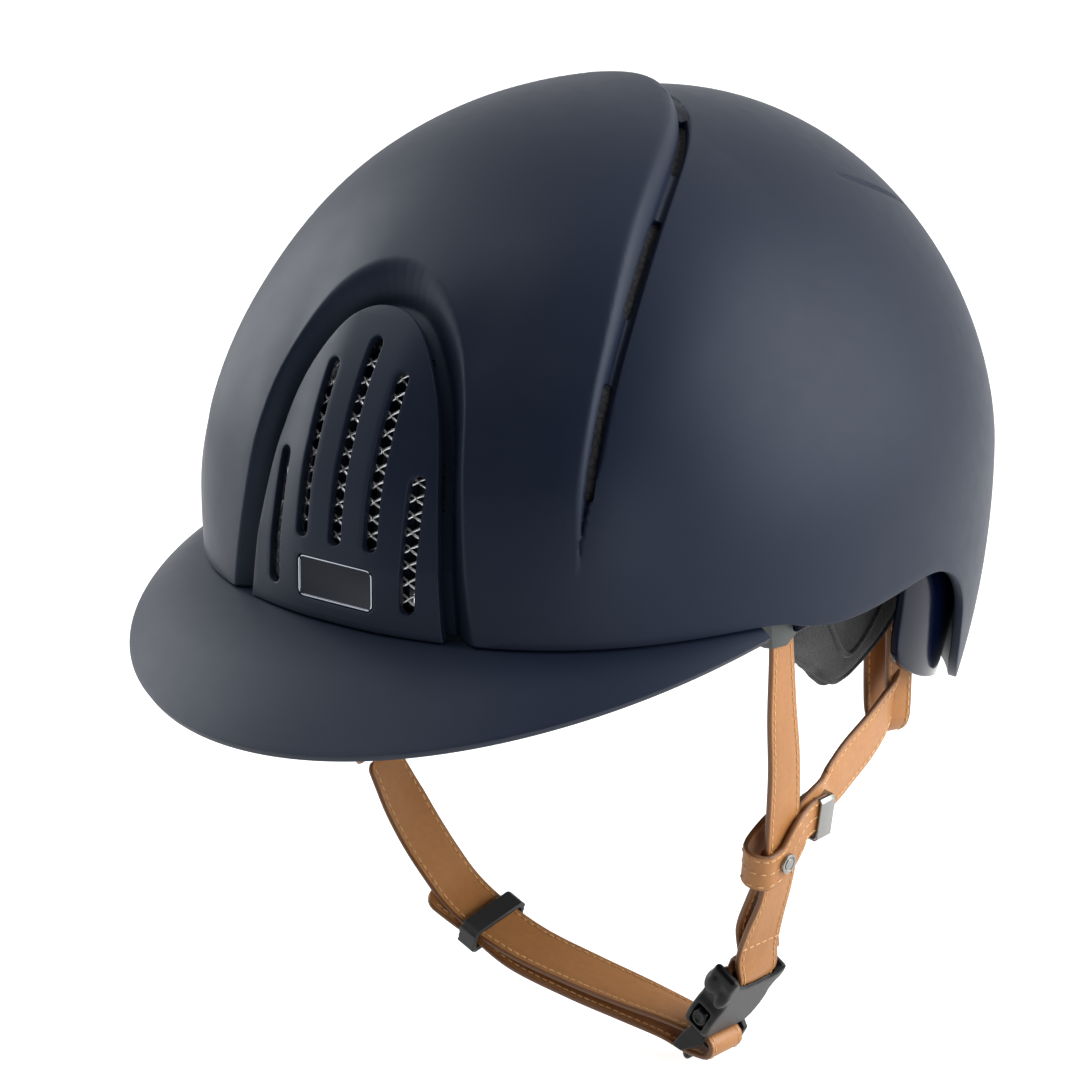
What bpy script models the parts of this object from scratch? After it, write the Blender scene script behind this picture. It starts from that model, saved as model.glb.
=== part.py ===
"""Equestrian riding helmet: moulded shell with a raised front band, recessed grille and peak,
foam liner, textile pads and a leather harness with a side-release buckle.

Metres, +Z up, the front of the helmet looks along -Y and the wearer's left is +X. The origin is
the centre of the head space, at the height where the shell is widest.
"""
import math

import bmesh
import bpy
from mathutils import Matrix, Vector

MM = 0.001

# The dome: a rounded solid whose crown leans back, longer behind than in front. The front is
# fuller at its corners than the rear.
HALF_WIDTH = 113 * MM
FRONT_LENGTH = 131.2 * MM
REAR_LENGTH = 143.2 * MM
CROWN_HEIGHT = 116.5 * MM
LOWER_DEPTH = 188 * MM
CROWN_LEAN = 8.5 * MM
SIDE_BEND = 1.944
FRONT_BEND = 2.28
REAR_BEND = 2.21
CROWN_BEND = 1.821
FRONT_FULLNESS = 0.386
LOWER_BEND = 2.0
GRID_CELLS = 10

# Walls and the clearance between neighbouring pieces.
SHELL_WALL = 3.0 * MM
LINER_WALL = 21 * MM
PAD_WALL = 6.5 * MM
GAP = 0.3 * MM

# The raised band over the front and crown. It ends on a parabola seen from above.
BAND_RISE = 6.4 * MM
BAND_BACK = 24 * MM
BAND_SPREAD = 44.5 * MM
BAND_HALF = 75 * MM
BAND_FOOT = 9 * MM
BAND_SWELL = 0.6
BAND_SINK = 3.5
BAND_STEPS = 14
GROOVE_RADIUS = 2.2 * MM
GROOVE_DEPTH = 1.5 * MM
VENT_WIDTH = 2.4 * MM
# A shallow crease on each side of the rear, seen from above: (x, y) down the shell.
CREASE = ((62.5 * MM, 36 * MM), (63.4 * MM, 46 * MM), (64.4 * MM, 56 * MM), (64.6 * MM, 66 * MM),
          (64.0 * MM, 76 * MM), (62.0 * MM, 86 * MM), (59.0 * MM, 95 * MM), (55.0 * MM, 103 * MM))
CREASE_RADIUS = 1.6 * MM
CREASE_DEPTH = 0.7 * MM
VENT_SPANS = ((32.5 * MM, 49.0 * MM), (56.5 * MM, 66.5 * MM), (70.0 * MM, 74.2 * MM))

# Seen from the side: height of the shell's lower edge along the helmet, (y, z).
RIM = [(-0.150, -0.0205), (-0.100, -0.0200), (-0.062, -0.0195), (-0.046, -0.0205),
       (-0.036, -0.0232), (-0.023, -0.0250), (-0.008, -0.0248), (0.008, -0.0232),
       (0.022, -0.0220), (0.034, -0.0235), (0.046, -0.0295), (0.055, -0.0400),
       (0.060, -0.0540), (0.067, -0.0680), (0.082, -0.0770), (0.110, -0.0800),
       (0.150, -0.0800)]
LINER_RIM = -10 * MM

# Half outlines seen from the front, (x, z), from below the rim up to the top middle.
RECESS_HALF = [(0.0490, -0.0450), (0.0460, -0.0230), (0.0410, 0.0050), (0.0370, 0.0300),
               (0.0325, 0.0500), (0.0240, 0.0690), (0.0135, 0.0805), (0.0, 0.0845)]
GRILLE_HALF = [(0.0395, -0.0450), (0.0380, -0.0230), (0.0345, 0.0050), (0.0300, 0.0320),
               (0.0245, 0.0510), (0.0160, 0.0655), (0.0085, 0.0718), (0.0, 0.0735)]
RECESS_DEPTH = 7.0 * MM
FACE_DIP = 2.5 * MM
DIP_REACH = 35 * MM
GRILLE_GAP = 2.4 * MM
GRILLE_FACE = 0.5 * MM
GRILLE_WALL = 4.0 * MM
GRILLE_EDGE = 3.0 * MM
MESH_WALL = 0.7 * MM
SLOT_WIDTH = 5.0 * MM
SLOTS = [(0.0, 0.0045, 0.0672), (0.0134, 0.0048, 0.0592), (-0.0134, 0.0048, 0.0592),
         (0.0262, -0.0130, 0.0300), (-0.0262, -0.0130, 0.0300)]

BADGE_WIDTH = 29 * MM
BADGE_HEIGHT = 13 * MM
BADGE_WALL = 1.2 * MM
BADGE_DEPTH = 0.8 * MM
BADGE_LEVEL = -7.5 * MM
BADGE_CORNER = 2.2 * MM

# The peak: its free edge is half an ellipse that slopes down to the front.
PEAK_CENTRE = -45 * MM
PEAK_HALF = 107.5 * MM
PEAK_REACH = 132.5 * MM
PEAK_TURN = 86.5
PEAK_DROP = 23.5 * MM
PEAK_BEND = 1.25
PEAK_EDGE = -22 * MM
PEAK_CROWN = 3.0 * MM
PEAK_WALL = 2.6 * MM
PEAK_INSET = 2.0 * MM
PEAK_FLANGE = 9 * MM

NAPE_OUT = 6.6 * MM
NAPE_WALL = 2.6 * MM

STRAP_WALL = 1.9 * MM
LOOP_WALL = 1.8 * MM
LOOP_WIDTH = 12.6 * MM
CLIP_WALL = 0.8 * MM
CLIP_WIDTH = 7 * MM
KEEPER_WALL = 1.6 * MM
KEEPER_WIDTH = 7 * MM
RING_WIDTH = 9 * MM
HANGER_WALL = 3 * MM

# Straps as rows in millimetres: middle of the leather, direction of its width, width.
# The left front strap runs from its hanger through the slider, round the bar of the buckle's
# socket and back up into the slider.
FRONT_STRAP = [
    (100.4, -37.5, -14.5, 0, 1, 0, 12), (100.4, -35.8, -32.0, 0, 1, 0, 12.5),
    (98.0, -31.2, -53.9, 0, 1, 0, 14.5), (95.2, -26.3, -72.8, 0, 1, 0, 15.6),
    (92.5, -23.2, -88.8, 0, 1, 0, 16.4), (90.3, -22.2, -101.3, 0, 1, 0, 16.4),
    (88.5, -21.7, -111.0, 0, 1, 0, 16.4), (86.0, -21.0, -120.7, 0, 1, 0, 16.4),
    (82.8, -19.2, -132.0, 0.1, 1, 0, 17), (79.6, -17.6, -141.5, 0.15, 1, 0, 17.5)]
RETURN_STRAP = [
    (77.5, -17.2, -142.4, 0.15, 1, 0, 17.5), (77.2, -18.8, -132.0, 0.1, 1, 0, 17),
    (81.4, -20.6, -120.7, 0, 1, 0, 16.4), (85.9, -21.6, -111.5, 0, 1, 0, 16),
    (87.7, -22.1, -103.0, 0, 1, 0, 16)]
# Inside the socket's yoke, in the buckle's own frame: on the way in and on the way back.
YOKE_PATH = [(2.3 * MM, 4.8 * MM), (-2.5 * MM, 3.4 * MM), (-3.2 * MM, 7.8 * MM)]
SLIDER_AT = 110.6 * MM
# The right front strap hangs inwards and ends inside its slider, where the chin strap starts.
FAR_STRAP = [
    (-100.4, -37.5, -14.5, 0, 1, 0, 12), (-100.3, -35.8, -33.0, 0, 1, 0, 12.5),
    (-96.0, -32.5, -53.0, 0, 1, 0, 14.5), (-88.5, -28.8, -73.0, 0, 1, 0, 15.6),
    (-81.5, -25.0, -90.0, 0, 1, 0, 16.4), (-76.8, -22.8, -100.5, 0, 1, 0, 16.4),
    (-74.4, -21.8, -106.0, 0, 1, 0, 16.4)]
FAR_SLIDER_AT = 102.5 * MM
# The slider's band seen along the strap: rearwards, outwards, lift along the strap.
SLIDER_BAND = [
    (21.5, 2.1, 9.3), (14.0, 2.1, 9.4), (9.8, 2.8, 9.2), (6.5, 3.4, 8.2), (3.5, 3.6, 5.0),
    (0.0, 3.7, 1.8), (-4.5, 3.7, 0.3), (-9.4, 3.0, 0.0), (-11.9, -0.8, 0.8),
    (-10.8, -4.4, 1.8), (-6.5, -5.9, 3.0), (1.0, -5.8, 6.3), (6.5, -4.6, 8.6),
    (10.3, -2.8, 9.3), (14.0, -2.1, 9.4), (21.5, -2.1, 9.3)]
CLIP_AT = 18.3
SNAP_AT = (-1.3, 3.7, 1.1)
SNAP_RADIUS = 3.2 * MM
# The rear strap leaves the slider's tails and climbs through the ring to its hanger.
REAR_STRAP = [
    (87.8, 9.5, -93.9, 0.1, -0.3, 0.93, 14.5), (86.5, 17.0, -92.6, 0.1, -0.3, 0.95, 16.0),
    (83.5, 35.2, -88.8, 0.15, -0.45, 0.87, 16.4), (82.0, 44.7, -82.3, 0.15, -0.45, 0.88, 14.5),
    (79.5, 52.0, -76.0, 0.5, -0.62, 0.6, 14), (78.0, 54.9, -69.1, 0.6, -0.72, 0.35, 13),
    (77.4, 55.6, -52.0, 0.62, -0.78, 0, 11), (77.4, 54.4, -32.0, 0.62, -0.78, 0, 10),
    (77.4, 53.0, -14.2, 0.62, -0.78, 0, 10)]
FAR_REAR_STRAP = [
    (-80.2, 9.5, -91.5, -0.2, -0.2, 0.95, 14.5), (-81.0, 20.0, -90.4, -0.15, -0.3, 0.95, 16.2),
    (-81.8, 36.0, -87.2, -0.15, -0.45, 0.87, 16.4)]
RING_MIDDLE = (75.5 * MM, 53.4 * MM)
RING_DIRECTION = (0.783, 0.622)
RING_HALF = 6.6 * MM
RING_FOOT = -88.8 * MM
HANGER_TOP = LINER_RIM - GAP
# The chin strap: from the far slider down to the tongue's bar and back to its free tip.
CHIN_STRAP = [
    (-72.9, -21.2, -110.2, 0, 1, 0.05, 16.4), (-68.5, -20.5, -118.0, 0, 1, 0.15, 17.5),
    (-64.5, -20.0, -124.5, 0, 0.97, 0.22, 18.5), (-58.5, -19.5, -133.0, 0, 0.956, 0.292, 18.5),
    (-51.0, -19.0, -141.8, 0, 0.956, 0.292, 18.5), (-42.0, -18.0, -151.0, 0, 0.956, 0.292, 18.5),
    (-30.0, -17.4, -157.9, 0, 0.956, 0.292, 18.5), (-14.2, -17.0, -163.2, 0, 0.97, 0.24, 18.5),
    (6.9, -16.6, -166.9, 0, 0.98, 0.2, 18.5), (27.7, -16.4, -169.6, 0, 0.99, 0.12, 18.5),
    (45.0, -16.4, -172.0, 0, 1, 0, 18.5), (54.0, -16.4, -173.7, 0, 1, 0, 18.2)]
CHIN_RETURN = [
    (53.0, -16.4, -180.6, 0, 1, 0, 18.2), (44.0, -16.4, -177.6, 0, 1, 0, 18.2),
    (27.7, -16.4, -174.4, 0, 0.99, 0.12, 18.2), (6.9, -16.6, -171.4, 0, 0.98, 0.2, 18.2),
    (-15.8, -17.0, -167.0, 0, 0.97, 0.24, 18.2), (-31.0, -17.4, -160.0, 0, 0.956, 0.292, 18.2),
    (-40.5, -19.0, -155.2, 0, 0.956, 0.292, 18.2), (-50.0, -21.5, -149.6, 0, 0.956, 0.292, 17.5)]
KEEPER_ROW = (-30.4, -17.4, -158.95)
KEEPER_RUN = (-0.91, 0.0, 0.415)

# The buckle, upright in its own frame: +Z towards the strap, +X away from the cheek.
BUCKLE_BAR = (72.0 * MM, -16.4 * MM, -152.5 * MM)
BUCKLE_TILT = 33.9
SOCKET_HALF = [(0, 2.4), (6, 2.8), (11.0, 4.5), (13.8, 7.8), (16.2, 7.4), (16.4, 4.0),
               (15.4, 0.0), (13.3, -3.5), (12.8, -6.5), (13.7, -9.5), (13.9, -14.0),
               (12.8, -19.0), (10.8, -21.5)]
SOCKET_WALL = 5.0 * MM
BAR_RADIUS = 1.4 * MM
STRAP_SLOT = (10.2 * MM, 3.9 * MM)
CHANNEL = (10.8 * MM, 2.9 * MM)
WINDOW = (-18.6 * MM, -10.4 * MM)
ARM_HALF = [(5.4, -21.6), (5.5, -15.0), (6.6, -9.6), (8.6, -8.6), (10.2, -9.2), (10.3, -10.9),
            (13.2, -11.4), (13.5, -14.6), (12.8, -17.6), (10.2, -18.0), (9.0, -18.6),
            (8.2, -21.6)]
CROSS_BAR = (4.4 * MM, -27.7 * MM)
END_BAR = (0.5 * MM, -37.8 * MM)
TONGUE_BAR_RADIUS = 1.6 * MM
RAIL_OUTLINE = [(-2.5, -22.0), (2.4, -22.0), (6.4, -24.2), (6.8, -30.0), (2.8, -39.2),
                (-1.6, -39.2), (-2.5, -31.0)]

colours = {
    "navy": ((0.062, 0.075, 0.110, 1.0), 0.45, 0.0),
    "gloss_navy": ((0.004, 0.010, 0.045, 1.0), 0.08, 0.0),
    "foam": ((0.05, 0.05, 0.055, 1.0), 0.9, 0.0),
    "textile": ((0.020, 0.021, 0.024, 1.0), 0.95, 0.0),
    "leather": ((0.46, 0.23, 0.085, 1.0), 0.45, 0.0),
    "wire": ((0.72, 0.73, 0.74, 1.0), 0.25, 1.0),
    "gunmetal": ((0.23, 0.235, 0.23, 1.0), 0.3, 1.0),
    "black_plastic": ((0.014, 0.015, 0.017, 1.0), 0.4, 0.0),
    "rubber": ((0.016, 0.017, 0.017, 1.0), 0.7, 0.0),
    "guide_grey": ((0.07, 0.075, 0.075, 1.0), 0.6, 0.0),
}

for old in list(bpy.data.objects):
    bpy.data.objects.remove(old, do_unlink=True)
helmet = bpy.data.collections.new("riding_helmet")
cutters = bpy.data.collections.new("cutters")
bpy.context.scene.collection.children.link(helmet)
bpy.context.scene.collection.children.link(cutters)


def finish(name):
    """One Principled material for a sub-part, made from the table of colours."""
    colour, rough, metal = colours[name]
    material = bpy.data.materials.new(name)
    material.use_nodes = True
    shader = material.node_tree.nodes["Principled BSDF"]
    shader.inputs["Base Color"].default_value = colour
    shader.inputs["Roughness"].default_value = rough
    shader.inputs["Metallic"].default_value = metal
    return material


def place(name, mesh, look=None):
    """Put a mesh in the scene: a sub-part with its own material, or a cutter."""
    thing = bpy.data.objects.new(name, mesh)
    if look is None:
        cutters.objects.link(thing)
        thing.hide_render = True
        thing.display_type = "WIRE"
        return thing
    helmet.objects.link(thing)
    mesh.materials.append(finish(look))
    mesh.shade_smooth()
    mesh.set_sharp_from_angle(angle=math.radians(35))
    return thing


def from_bmesh(name, bm, look=None):
    """Close a bmesh off as an object whose faces point outwards."""
    bmesh.ops.recalc_face_normals(bm, faces=bm.faces[:])
    mesh = bpy.data.meshes.new(name)
    bm.to_mesh(mesh)
    bm.free()
    return place(name, mesh, look)


def boolean(thing, cutter, operation="DIFFERENCE"):
    """Cut, join or keep the common part of two solids."""
    step = thing.modifiers.new(operation.lower() + "_" + cutter.name, "BOOLEAN")
    step.operation = operation
    step.object = cutter
    return thing


def solidify(thing, thickness, offset=0.0):
    """Give a sheet its wall."""
    wall = thing.modifiers.new("wall", "SOLIDIFY")
    wall.thickness = thickness
    wall.offset = offset
    wall.use_even_offset = True
    return thing


def round_edges(thing, width, angle=40, segments=2):
    """Round the edges that are sharper than the angle."""
    bevel = thing.modifiers.new("rounded_edges", "BEVEL")
    bevel.width = width
    bevel.segments = segments
    bevel.limit_method = "ANGLE"
    bevel.angle_limit = math.radians(angle)
    return thing


def smooth_path(points, steps):
    """A curve through the points, with the same number of steps between each two."""
    points = [Vector(p) for p in points]
    ends = [2 * points[0] - points[1]] + points + [2 * points[-1] - points[-2]]
    path = []
    for k in range(len(points) - 1):
        a, b, c, d = ends[k:k + 4]
        for n in range(steps):
            t = n / steps
            path.append(0.5 * (2 * b + (c - a) * t + (2 * a - 5 * b + 4 * c - d) * t * t
                               + (3 * b - a - 3 * c + d) * t ** 3))
    return path + [points[-1]]


# --- The dome that the shell, the liner and the pads all follow -----------------------------

def band_height(z):
    """How far the raised band stands above the dome at a height: sunk below its foot."""
    share = (z - BAND_FOOT) / (CROWN_HEIGHT - BAND_FOOT)
    return BAND_RISE * (min(1.0, share) ** BAND_SWELL if share > 0 else BAND_SINK * share)


def gauge(point, grow):
    """1 on the dome that is grown by a distance, less inside it and more outside."""
    high = CROWN_HEIGHT + grow
    back = point.y - CROWN_LEAN * (max(point.z, 0.0) / high) ** 2
    front = back < 0
    long = (FRONT_LENGTH if front else REAR_LENGTH) + grow
    ends = (abs(back) / long) ** (FRONT_BEND if front else REAR_BEND)
    if point.z > 0:
        rise = (point.z / high) ** CROWN_BEND
    else:
        rise = (-point.z / (LOWER_DEPTH + grow)) ** LOWER_BEND
    bend = SIDE_BEND + FRONT_FULLNESS * min(max(-back / long, 0.0), 1.0)
    return (abs(point.x) / (HALF_WIDTH + grow)) ** bend + ends + rise


def outward(point, grow=0.0):
    """The dome's normal at a point."""
    step = 0.1 * MM
    ways = (Vector((step, 0, 0)), Vector((0, step, 0)), Vector((0, 0, step)))
    return Vector([gauge(point + w, grow) - gauge(point - w, grow) for w in ways]).normalized()


def meet(start, direction, grow, banded=False, floor=-1.0):
    """Where a ray from a point inside the dome leaves it. The band's height has a floor."""
    low, high = 0.0, 0.5
    for _ in range(24):
        middle = (low + high) / 2
        point = start + direction * middle
        swell = grow + (max(band_height(point.z), floor) if banded else 0.0)
        if gauge(point, swell) < 1:
            low = middle
        else:
            high = middle
    return start + direction * low


def front_point(x, z, depth):
    """A point of the banded front, seen from the front at (x, z), pushed in by a depth. What lies
    under the surface sinks further towards the top."""
    if depth > 0:
        depth += FACE_DIP * min(max(z / DIP_REACH, 0.0), 1.0)
    point = meet(Vector((x, 0, z)), Vector((0, -1, 0)), 0.0, True, 0.0)
    return point - depth * outward(point, max(band_height(z), 0.0))


def top_point(x, y, lift=0.0):
    """A point of the plain dome, seen from above at (x, y)."""
    point = meet(Vector((x, y, 0)), Vector((0, 0, 1)), 0.0)
    return point + lift * outward(point)


def dome_solid(name, grow, look=None, banded=False):
    """A closed dome on a cube's even grid, so that no pole shows on the crown. Domes inside the
    shell nest, so their faces are split alike."""
    bm = bmesh.new()
    bmesh.ops.create_cube(bm, size=2.0)
    bmesh.ops.subdivide_edges(bm, edges=bm.edges[:], cuts=GRID_CELLS - 1, use_grid_fill=True)
    for v in bm.verts:
        even = Vector([math.tan(c * math.pi / 4) for c in v.co])
        v.co = meet(Vector(), even.normalized(), grow, banded)
    if grow < 0:
        bmesh.ops.triangulate(bm, faces=bm.faces[:], quad_method="FIXED")
    return from_bmesh(name, bm, look)


def prism(name, outline, axis, low, high):
    """A flat outline given its depth along an axis. The outline is (y, z) for X, (x, y) for Z."""
    flat = bpy.data.curves.new(name, "CURVE")
    flat.dimensions = "2D"
    flat.fill_mode = "BOTH"
    flat.extrude = (high - low) / 2
    line = flat.splines.new("POLY")
    line.points.add(len(outline) - 1)
    for spot, corner in zip(line.points, outline):
        spot.co = (corner[0], corner[1], 0, 1)
    line.use_cyclic_u = True
    drawn = bpy.data.objects.new(name + "_outline", flat)
    bpy.context.scene.collection.objects.link(drawn)
    middle = (low + high) / 2
    if axis == "X":
        turn = Matrix(((0, 0, 1, middle), (1, 0, 0, 0), (0, 1, 0, 0), (0, 0, 0, 1)))
    elif axis == "Y":
        turn = Matrix(((1, 0, 0, 0), (0, 0, -1, middle), (0, 1, 0, 0), (0, 0, 0, 1)))
    else:
        turn = Matrix.Translation((0, 0, middle))
    mesh = bpy.data.meshes.new_from_object(drawn.evaluated_get(
        bpy.context.evaluated_depsgraph_get()))
    bpy.data.objects.remove(drawn, do_unlink=True)
    mesh.name = name
    bm = bmesh.new()
    bm.from_mesh(mesh)
    bmesh.ops.remove_doubles(bm, verts=bm.verts[:], dist=0.01 * MM)
    bmesh.ops.transform(bm, matrix=turn, verts=bm.verts[:])
    bpy.data.meshes.remove(mesh)
    return bm


def prism_cutter(name, outline, axis, low, high):
    return from_bmesh(name, prism(name, outline, axis, low, high))


def dome_slice(name, look, outer, inner, outline, low=-0.2, high=0.2):
    """The part of a dome wall that lies inside an outline, such as a pad or a moulded plate."""
    piece = dome_solid(name, -outer, look)
    boolean(piece, dome_solid(name + "_inside", -inner))
    boolean(piece, prism_cutter(name + "_outline", outline, "X", low, high), "INTERSECT")
    return piece


def ribbon(name, path, sides, width, thickness, look=None, closed=False, ends=0.0, offset=0.0):
    """A flat strip along a path: side by side points give its width, Solidify its thickness."""
    count = len(path)
    widths = width if isinstance(width, list) else [width] * count
    bm = bmesh.new()
    rows = []
    for k, point in enumerate(path):
        side = Vector(sides[k] if isinstance(sides, list) else sides)
        before = path[k - 1] if k or closed else point
        after = path[(k + 1) % count] if k + 1 < count or closed else point
        run = (after - before).normalized()
        side = (side - run * side.dot(run)).normalized() * widths[k] / 2
        rows.append((bm.verts.new(point - side), bm.verts.new(point + side)))
    for k in range(count if closed else count - 1):
        a, b = rows[k], rows[(k + 1) % count]
        bm.faces.new((a[0], b[0], b[1], a[1]))
    if ends:
        tips = [v for row in (rows[0], rows[-1]) for v in row]
        bmesh.ops.bevel(bm, geom=tips, offset=ends, segments=3, affect="VERTICES", profile=0.5)
    mesh = bpy.data.meshes.new(name)
    bm.to_mesh(mesh)
    bm.free()
    return solidify(place(name, mesh, look), thickness, offset)


# --- Outlines ---------------------------------------------------------------------------------

def whole_outline(half, grow=0.0, steps=2):
    """A front outline from its right half: smoothed, mirrored and moved outwards."""
    right = [p.to_2d() for p in smooth_path([(x, z, 0) for x, z in half], steps)]
    left = [Vector((-p.x, p.y)) for p in reversed(right[:-1])]
    line = right + left
    moved = []
    for k, p in enumerate(line):
        run = line[min(k + 1, len(line) - 1)] - line[max(k - 1, 0)]
        moved.append(p + grow * Vector((run.y, -run.x)).normalized())
    foot = [Vector((moved[-1].x * share, moved[-1].y)) for share in (0.7, 0.35, 0, -0.35, -0.7)]
    return moved + foot


def patch_solid(name, sections, look=None, rings=(0.6,)):
    """A solid that follows the front: a loft through outlines at rising depths, with caps."""
    middle = Vector((0, 15 * MM))
    bm = bmesh.new()
    loops = [[bm.verts.new(front_point(p.x, p.y, depth)) for p in line]
             for line, depth in sections]
    count = len(loops[0])
    for upper, lower in zip(loops, loops[1:]):
        for k in range(count):
            n = (k + 1) % count
            bm.faces.new((upper[k], upper[n], lower[n], lower[k]))
    for (line, depth), loop in ((sections[0], loops[0]), (sections[-1], loops[-1])):
        for share in rings:
            inner = [bm.verts.new(front_point(*(middle + (p - middle) * share), depth))
                     for p in line]
            for k in range(count):
                n = (k + 1) % count
                bm.faces.new((loop[k], loop[n], inner[n], inner[k]))
            loop = inner
        hub = bm.verts.new(front_point(*middle, depth))
        for k in range(count):
            bm.faces.new((loop[k], loop[(k + 1) % count], hub))
    return from_bmesh(name, bm, look)


recess_line = whole_outline(RECESS_HALF)
foot_line = whole_outline(GRILLE_HALF, GRILLE_GAP)
rim_line = [p.to_2d() for p in smooth_path([(y, z, 0) for y, z in RIM], 2)]


def rim_height(y):
    """The height of the shell's lower edge at a place along the helmet."""
    for a, b in zip(rim_line, rim_line[1:]):
        if a.x <= y <= b.x:
            return a.y + (b.y - a.y) * (y - a.x) / (b.x - a.x)
    return rim_line[0].y if y < rim_line[0].x else rim_line[-1].y


def below_rim(name, drop=0.0):
    """A cutter for everything under the shell's lower edge."""
    outline = [(p.x, p.y - drop) for p in rim_line] + [(0.15, -0.26), (-0.15, -0.26)]
    outline = [(-0.2, outline[0][1])] + outline[:-2] + [(0.2, outline[-3][1]), (0.2, -0.26),
                                                         (-0.2, -0.26)]
    return prism_cutter(name, outline, "X", -0.2, 0.2)


def band_edge(x, behind=0.0):
    """A point of the band's rear edge seen from above, moved back by a distance."""
    slope = Vector((2 * x / BAND_SPREAD, 1)).normalized()
    return Vector((x, BAND_BACK - x * x / BAND_SPREAD)) + behind * slope


def step_line(places, behind, lift):
    """Points on the dome along the band's rear edge."""
    return [top_point(*band_edge(x, behind), lift) for x in places]


def across(path, k):
    """The direction on the dome that crosses a path at one of its points."""
    run = path[min(k + 1, len(path) - 1)] - path[max(k - 1, 0)]
    return outward(path[k]).cross(run).normalized()


# --- Shell --------------------------------------------------------------------------------------

def make_slot_cutters():
    """One upright slot with round ends for each line of the grille, through grille and shell."""
    made = []
    for k, (x, low, high) in enumerate(SLOTS):
        path = [front_point(x, low + (high - low) * n / 6, 0.0) for n in range(7)]
        slot = ribbon(f"slot_{k}", path, Vector((1, 0, 0)), SLOT_WIDTH, 30 * MM,
                      ends=SLOT_WIDTH * 0.42)
        made.append(slot)
    return made


def make_band():
    """The raised band: a grown dome kept in front of the parabola."""
    band = dome_solid("band", 0.0, banded=True)
    outline = [tuple(band_edge(BAND_HALF * n / BAND_STEPS)) for n in
               range(-BAND_STEPS - 1, BAND_STEPS + 2)]
    outline += [(outline[-1][0], -0.2), (outline[0][0], -0.2)]
    keep = prism_cutter("band_outline", outline, "Z", -2 * MM, 0.2)
    return boolean(band, keep, "INTERSECT")


def round_cutter(name, path, radius):
    """A cutter of round section along a path."""
    line = bpy.data.curves.new(name, "CURVE")
    line.dimensions = "3D"
    line.bevel_depth = radius
    line.bevel_resolution = 1
    line.use_fill_caps = True
    spline = line.splines.new("POLY")
    spline.points.add(len(path) - 1)
    for spot, point in zip(spline.points, path):
        spot.co = (*point, 1)
    drawn = bpy.data.objects.new(name + "_line", line)
    bpy.context.scene.collection.objects.link(drawn)
    mesh = bpy.data.meshes.new_from_object(drawn.evaluated_get(
        bpy.context.evaluated_depsgraph_get()))
    bpy.data.objects.remove(drawn, do_unlink=True)
    bm = bmesh.new()
    bm.from_mesh(mesh)
    bmesh.ops.remove_doubles(bm, verts=bm.verts[:], dist=0.01 * MM)
    return from_bmesh(name, bm)


def make_groove():
    """The groove behind the band's edge, round in section."""
    places = [BAND_HALF * n / BAND_STEPS for n in range(-BAND_STEPS, BAND_STEPS + 1)]
    path = step_line(places, GROOVE_RADIUS * 0.7, GROOVE_RADIUS - GROOVE_DEPTH)
    return round_cutter("groove", path, GROOVE_RADIUS)


def make_creases():
    """A shallow line pressed into each side of the rear, which runs out at both ends."""
    made = []
    for side in (1, -1):
        path = []
        for k, (x, y) in enumerate(CREASE):
            sunk = CREASE_DEPTH * math.sin(math.pi * k / (len(CREASE) - 1)) ** 0.6
            path.append(top_point(side * x, y, CREASE_RADIUS + 0.15 * MM - sunk))
        made.append(round_cutter(f"crease_{side}", path, CREASE_RADIUS))
    return made


def make_vents():
    """Three slots on each side in the floor of the groove, through the wall."""
    made = []
    for side in (1, -1):
        for k, (low, high) in enumerate(VENT_SPANS):
            places = [side * (low + (high - low) * n / 6) for n in range(7)]
            path = step_line(places, GROOVE_RADIUS * 0.7, 0.0)
            sides = [across(path, n) for n in range(len(path))]
            made.append(ribbon(f"vent_{side}_{k}", path, sides, VENT_WIDTH, 16 * MM,
                               ends=VENT_WIDTH * 0.4))
    return made


def make_shell(slots):
    shell = dome_solid("outer_shell", 0.0, "navy")
    boolean(shell, make_band(), "UNION")
    hollow = dome_solid("shell_hollow", -SHELL_WALL)
    boss = patch_solid("recess_boss", [
        (whole_outline(RECESS_HALF, SHELL_WALL), -3 * MM),
        (whole_outline(RECESS_HALF, SHELL_WALL), SHELL_WALL),
        (whole_outline(GRILLE_HALF, GRILLE_GAP + SHELL_WALL), RECESS_DEPTH + SHELL_WALL)])
    boolean(hollow, boss)
    boolean(shell, hollow)
    recess = patch_solid("recess", [(recess_line, -10 * MM), (recess_line, 0.0),
                                    (foot_line, RECESS_DEPTH)])
    boolean(shell, recess)
    boolean(shell, below_rim("shell_below"))
    boolean(shell, make_groove())
    for cutter in make_creases() + make_vents() + slots:
        boolean(shell, cutter)
    return shell


def make_grille(slots):
    """The insert: a curved panel with five slots, a pocket for the mesh and one for the badge."""
    back = GRILLE_FACE + GRILLE_WALL
    seat = RECESS_DEPTH - GAP
    grille = patch_solid("front_grille", [
        (whole_outline(GRILLE_HALF, -0.8 * MM), GRILLE_FACE),
        (whole_outline(GRILLE_HALF), GRILLE_FACE + 0.8 * MM),
        (whole_outline(GRILLE_HALF), seat)], "navy")
    pocket_line = whole_outline(GRILLE_HALF, -GRILLE_EDGE)
    boolean(grille, patch_solid("mesh_pocket", [(pocket_line, back), (pocket_line, 12 * MM)]))
    for cutter in slots:
        boolean(grille, cutter)
    boolean(grille, make_badge("badge_pocket", GAP, None))
    boolean(grille, below_rim("grille_below"))
    mesh_line = whole_outline(GRILLE_HALF, -GRILLE_EDGE - GAP)
    wires = patch_solid("grille_mesh", [(mesh_line, back + 2 * GAP),
                                        (mesh_line, back + 2 * GAP + MESH_WALL)], "wire")
    boolean(wires, below_rim("mesh_below", -1.0 * MM))
    return grille


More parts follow.
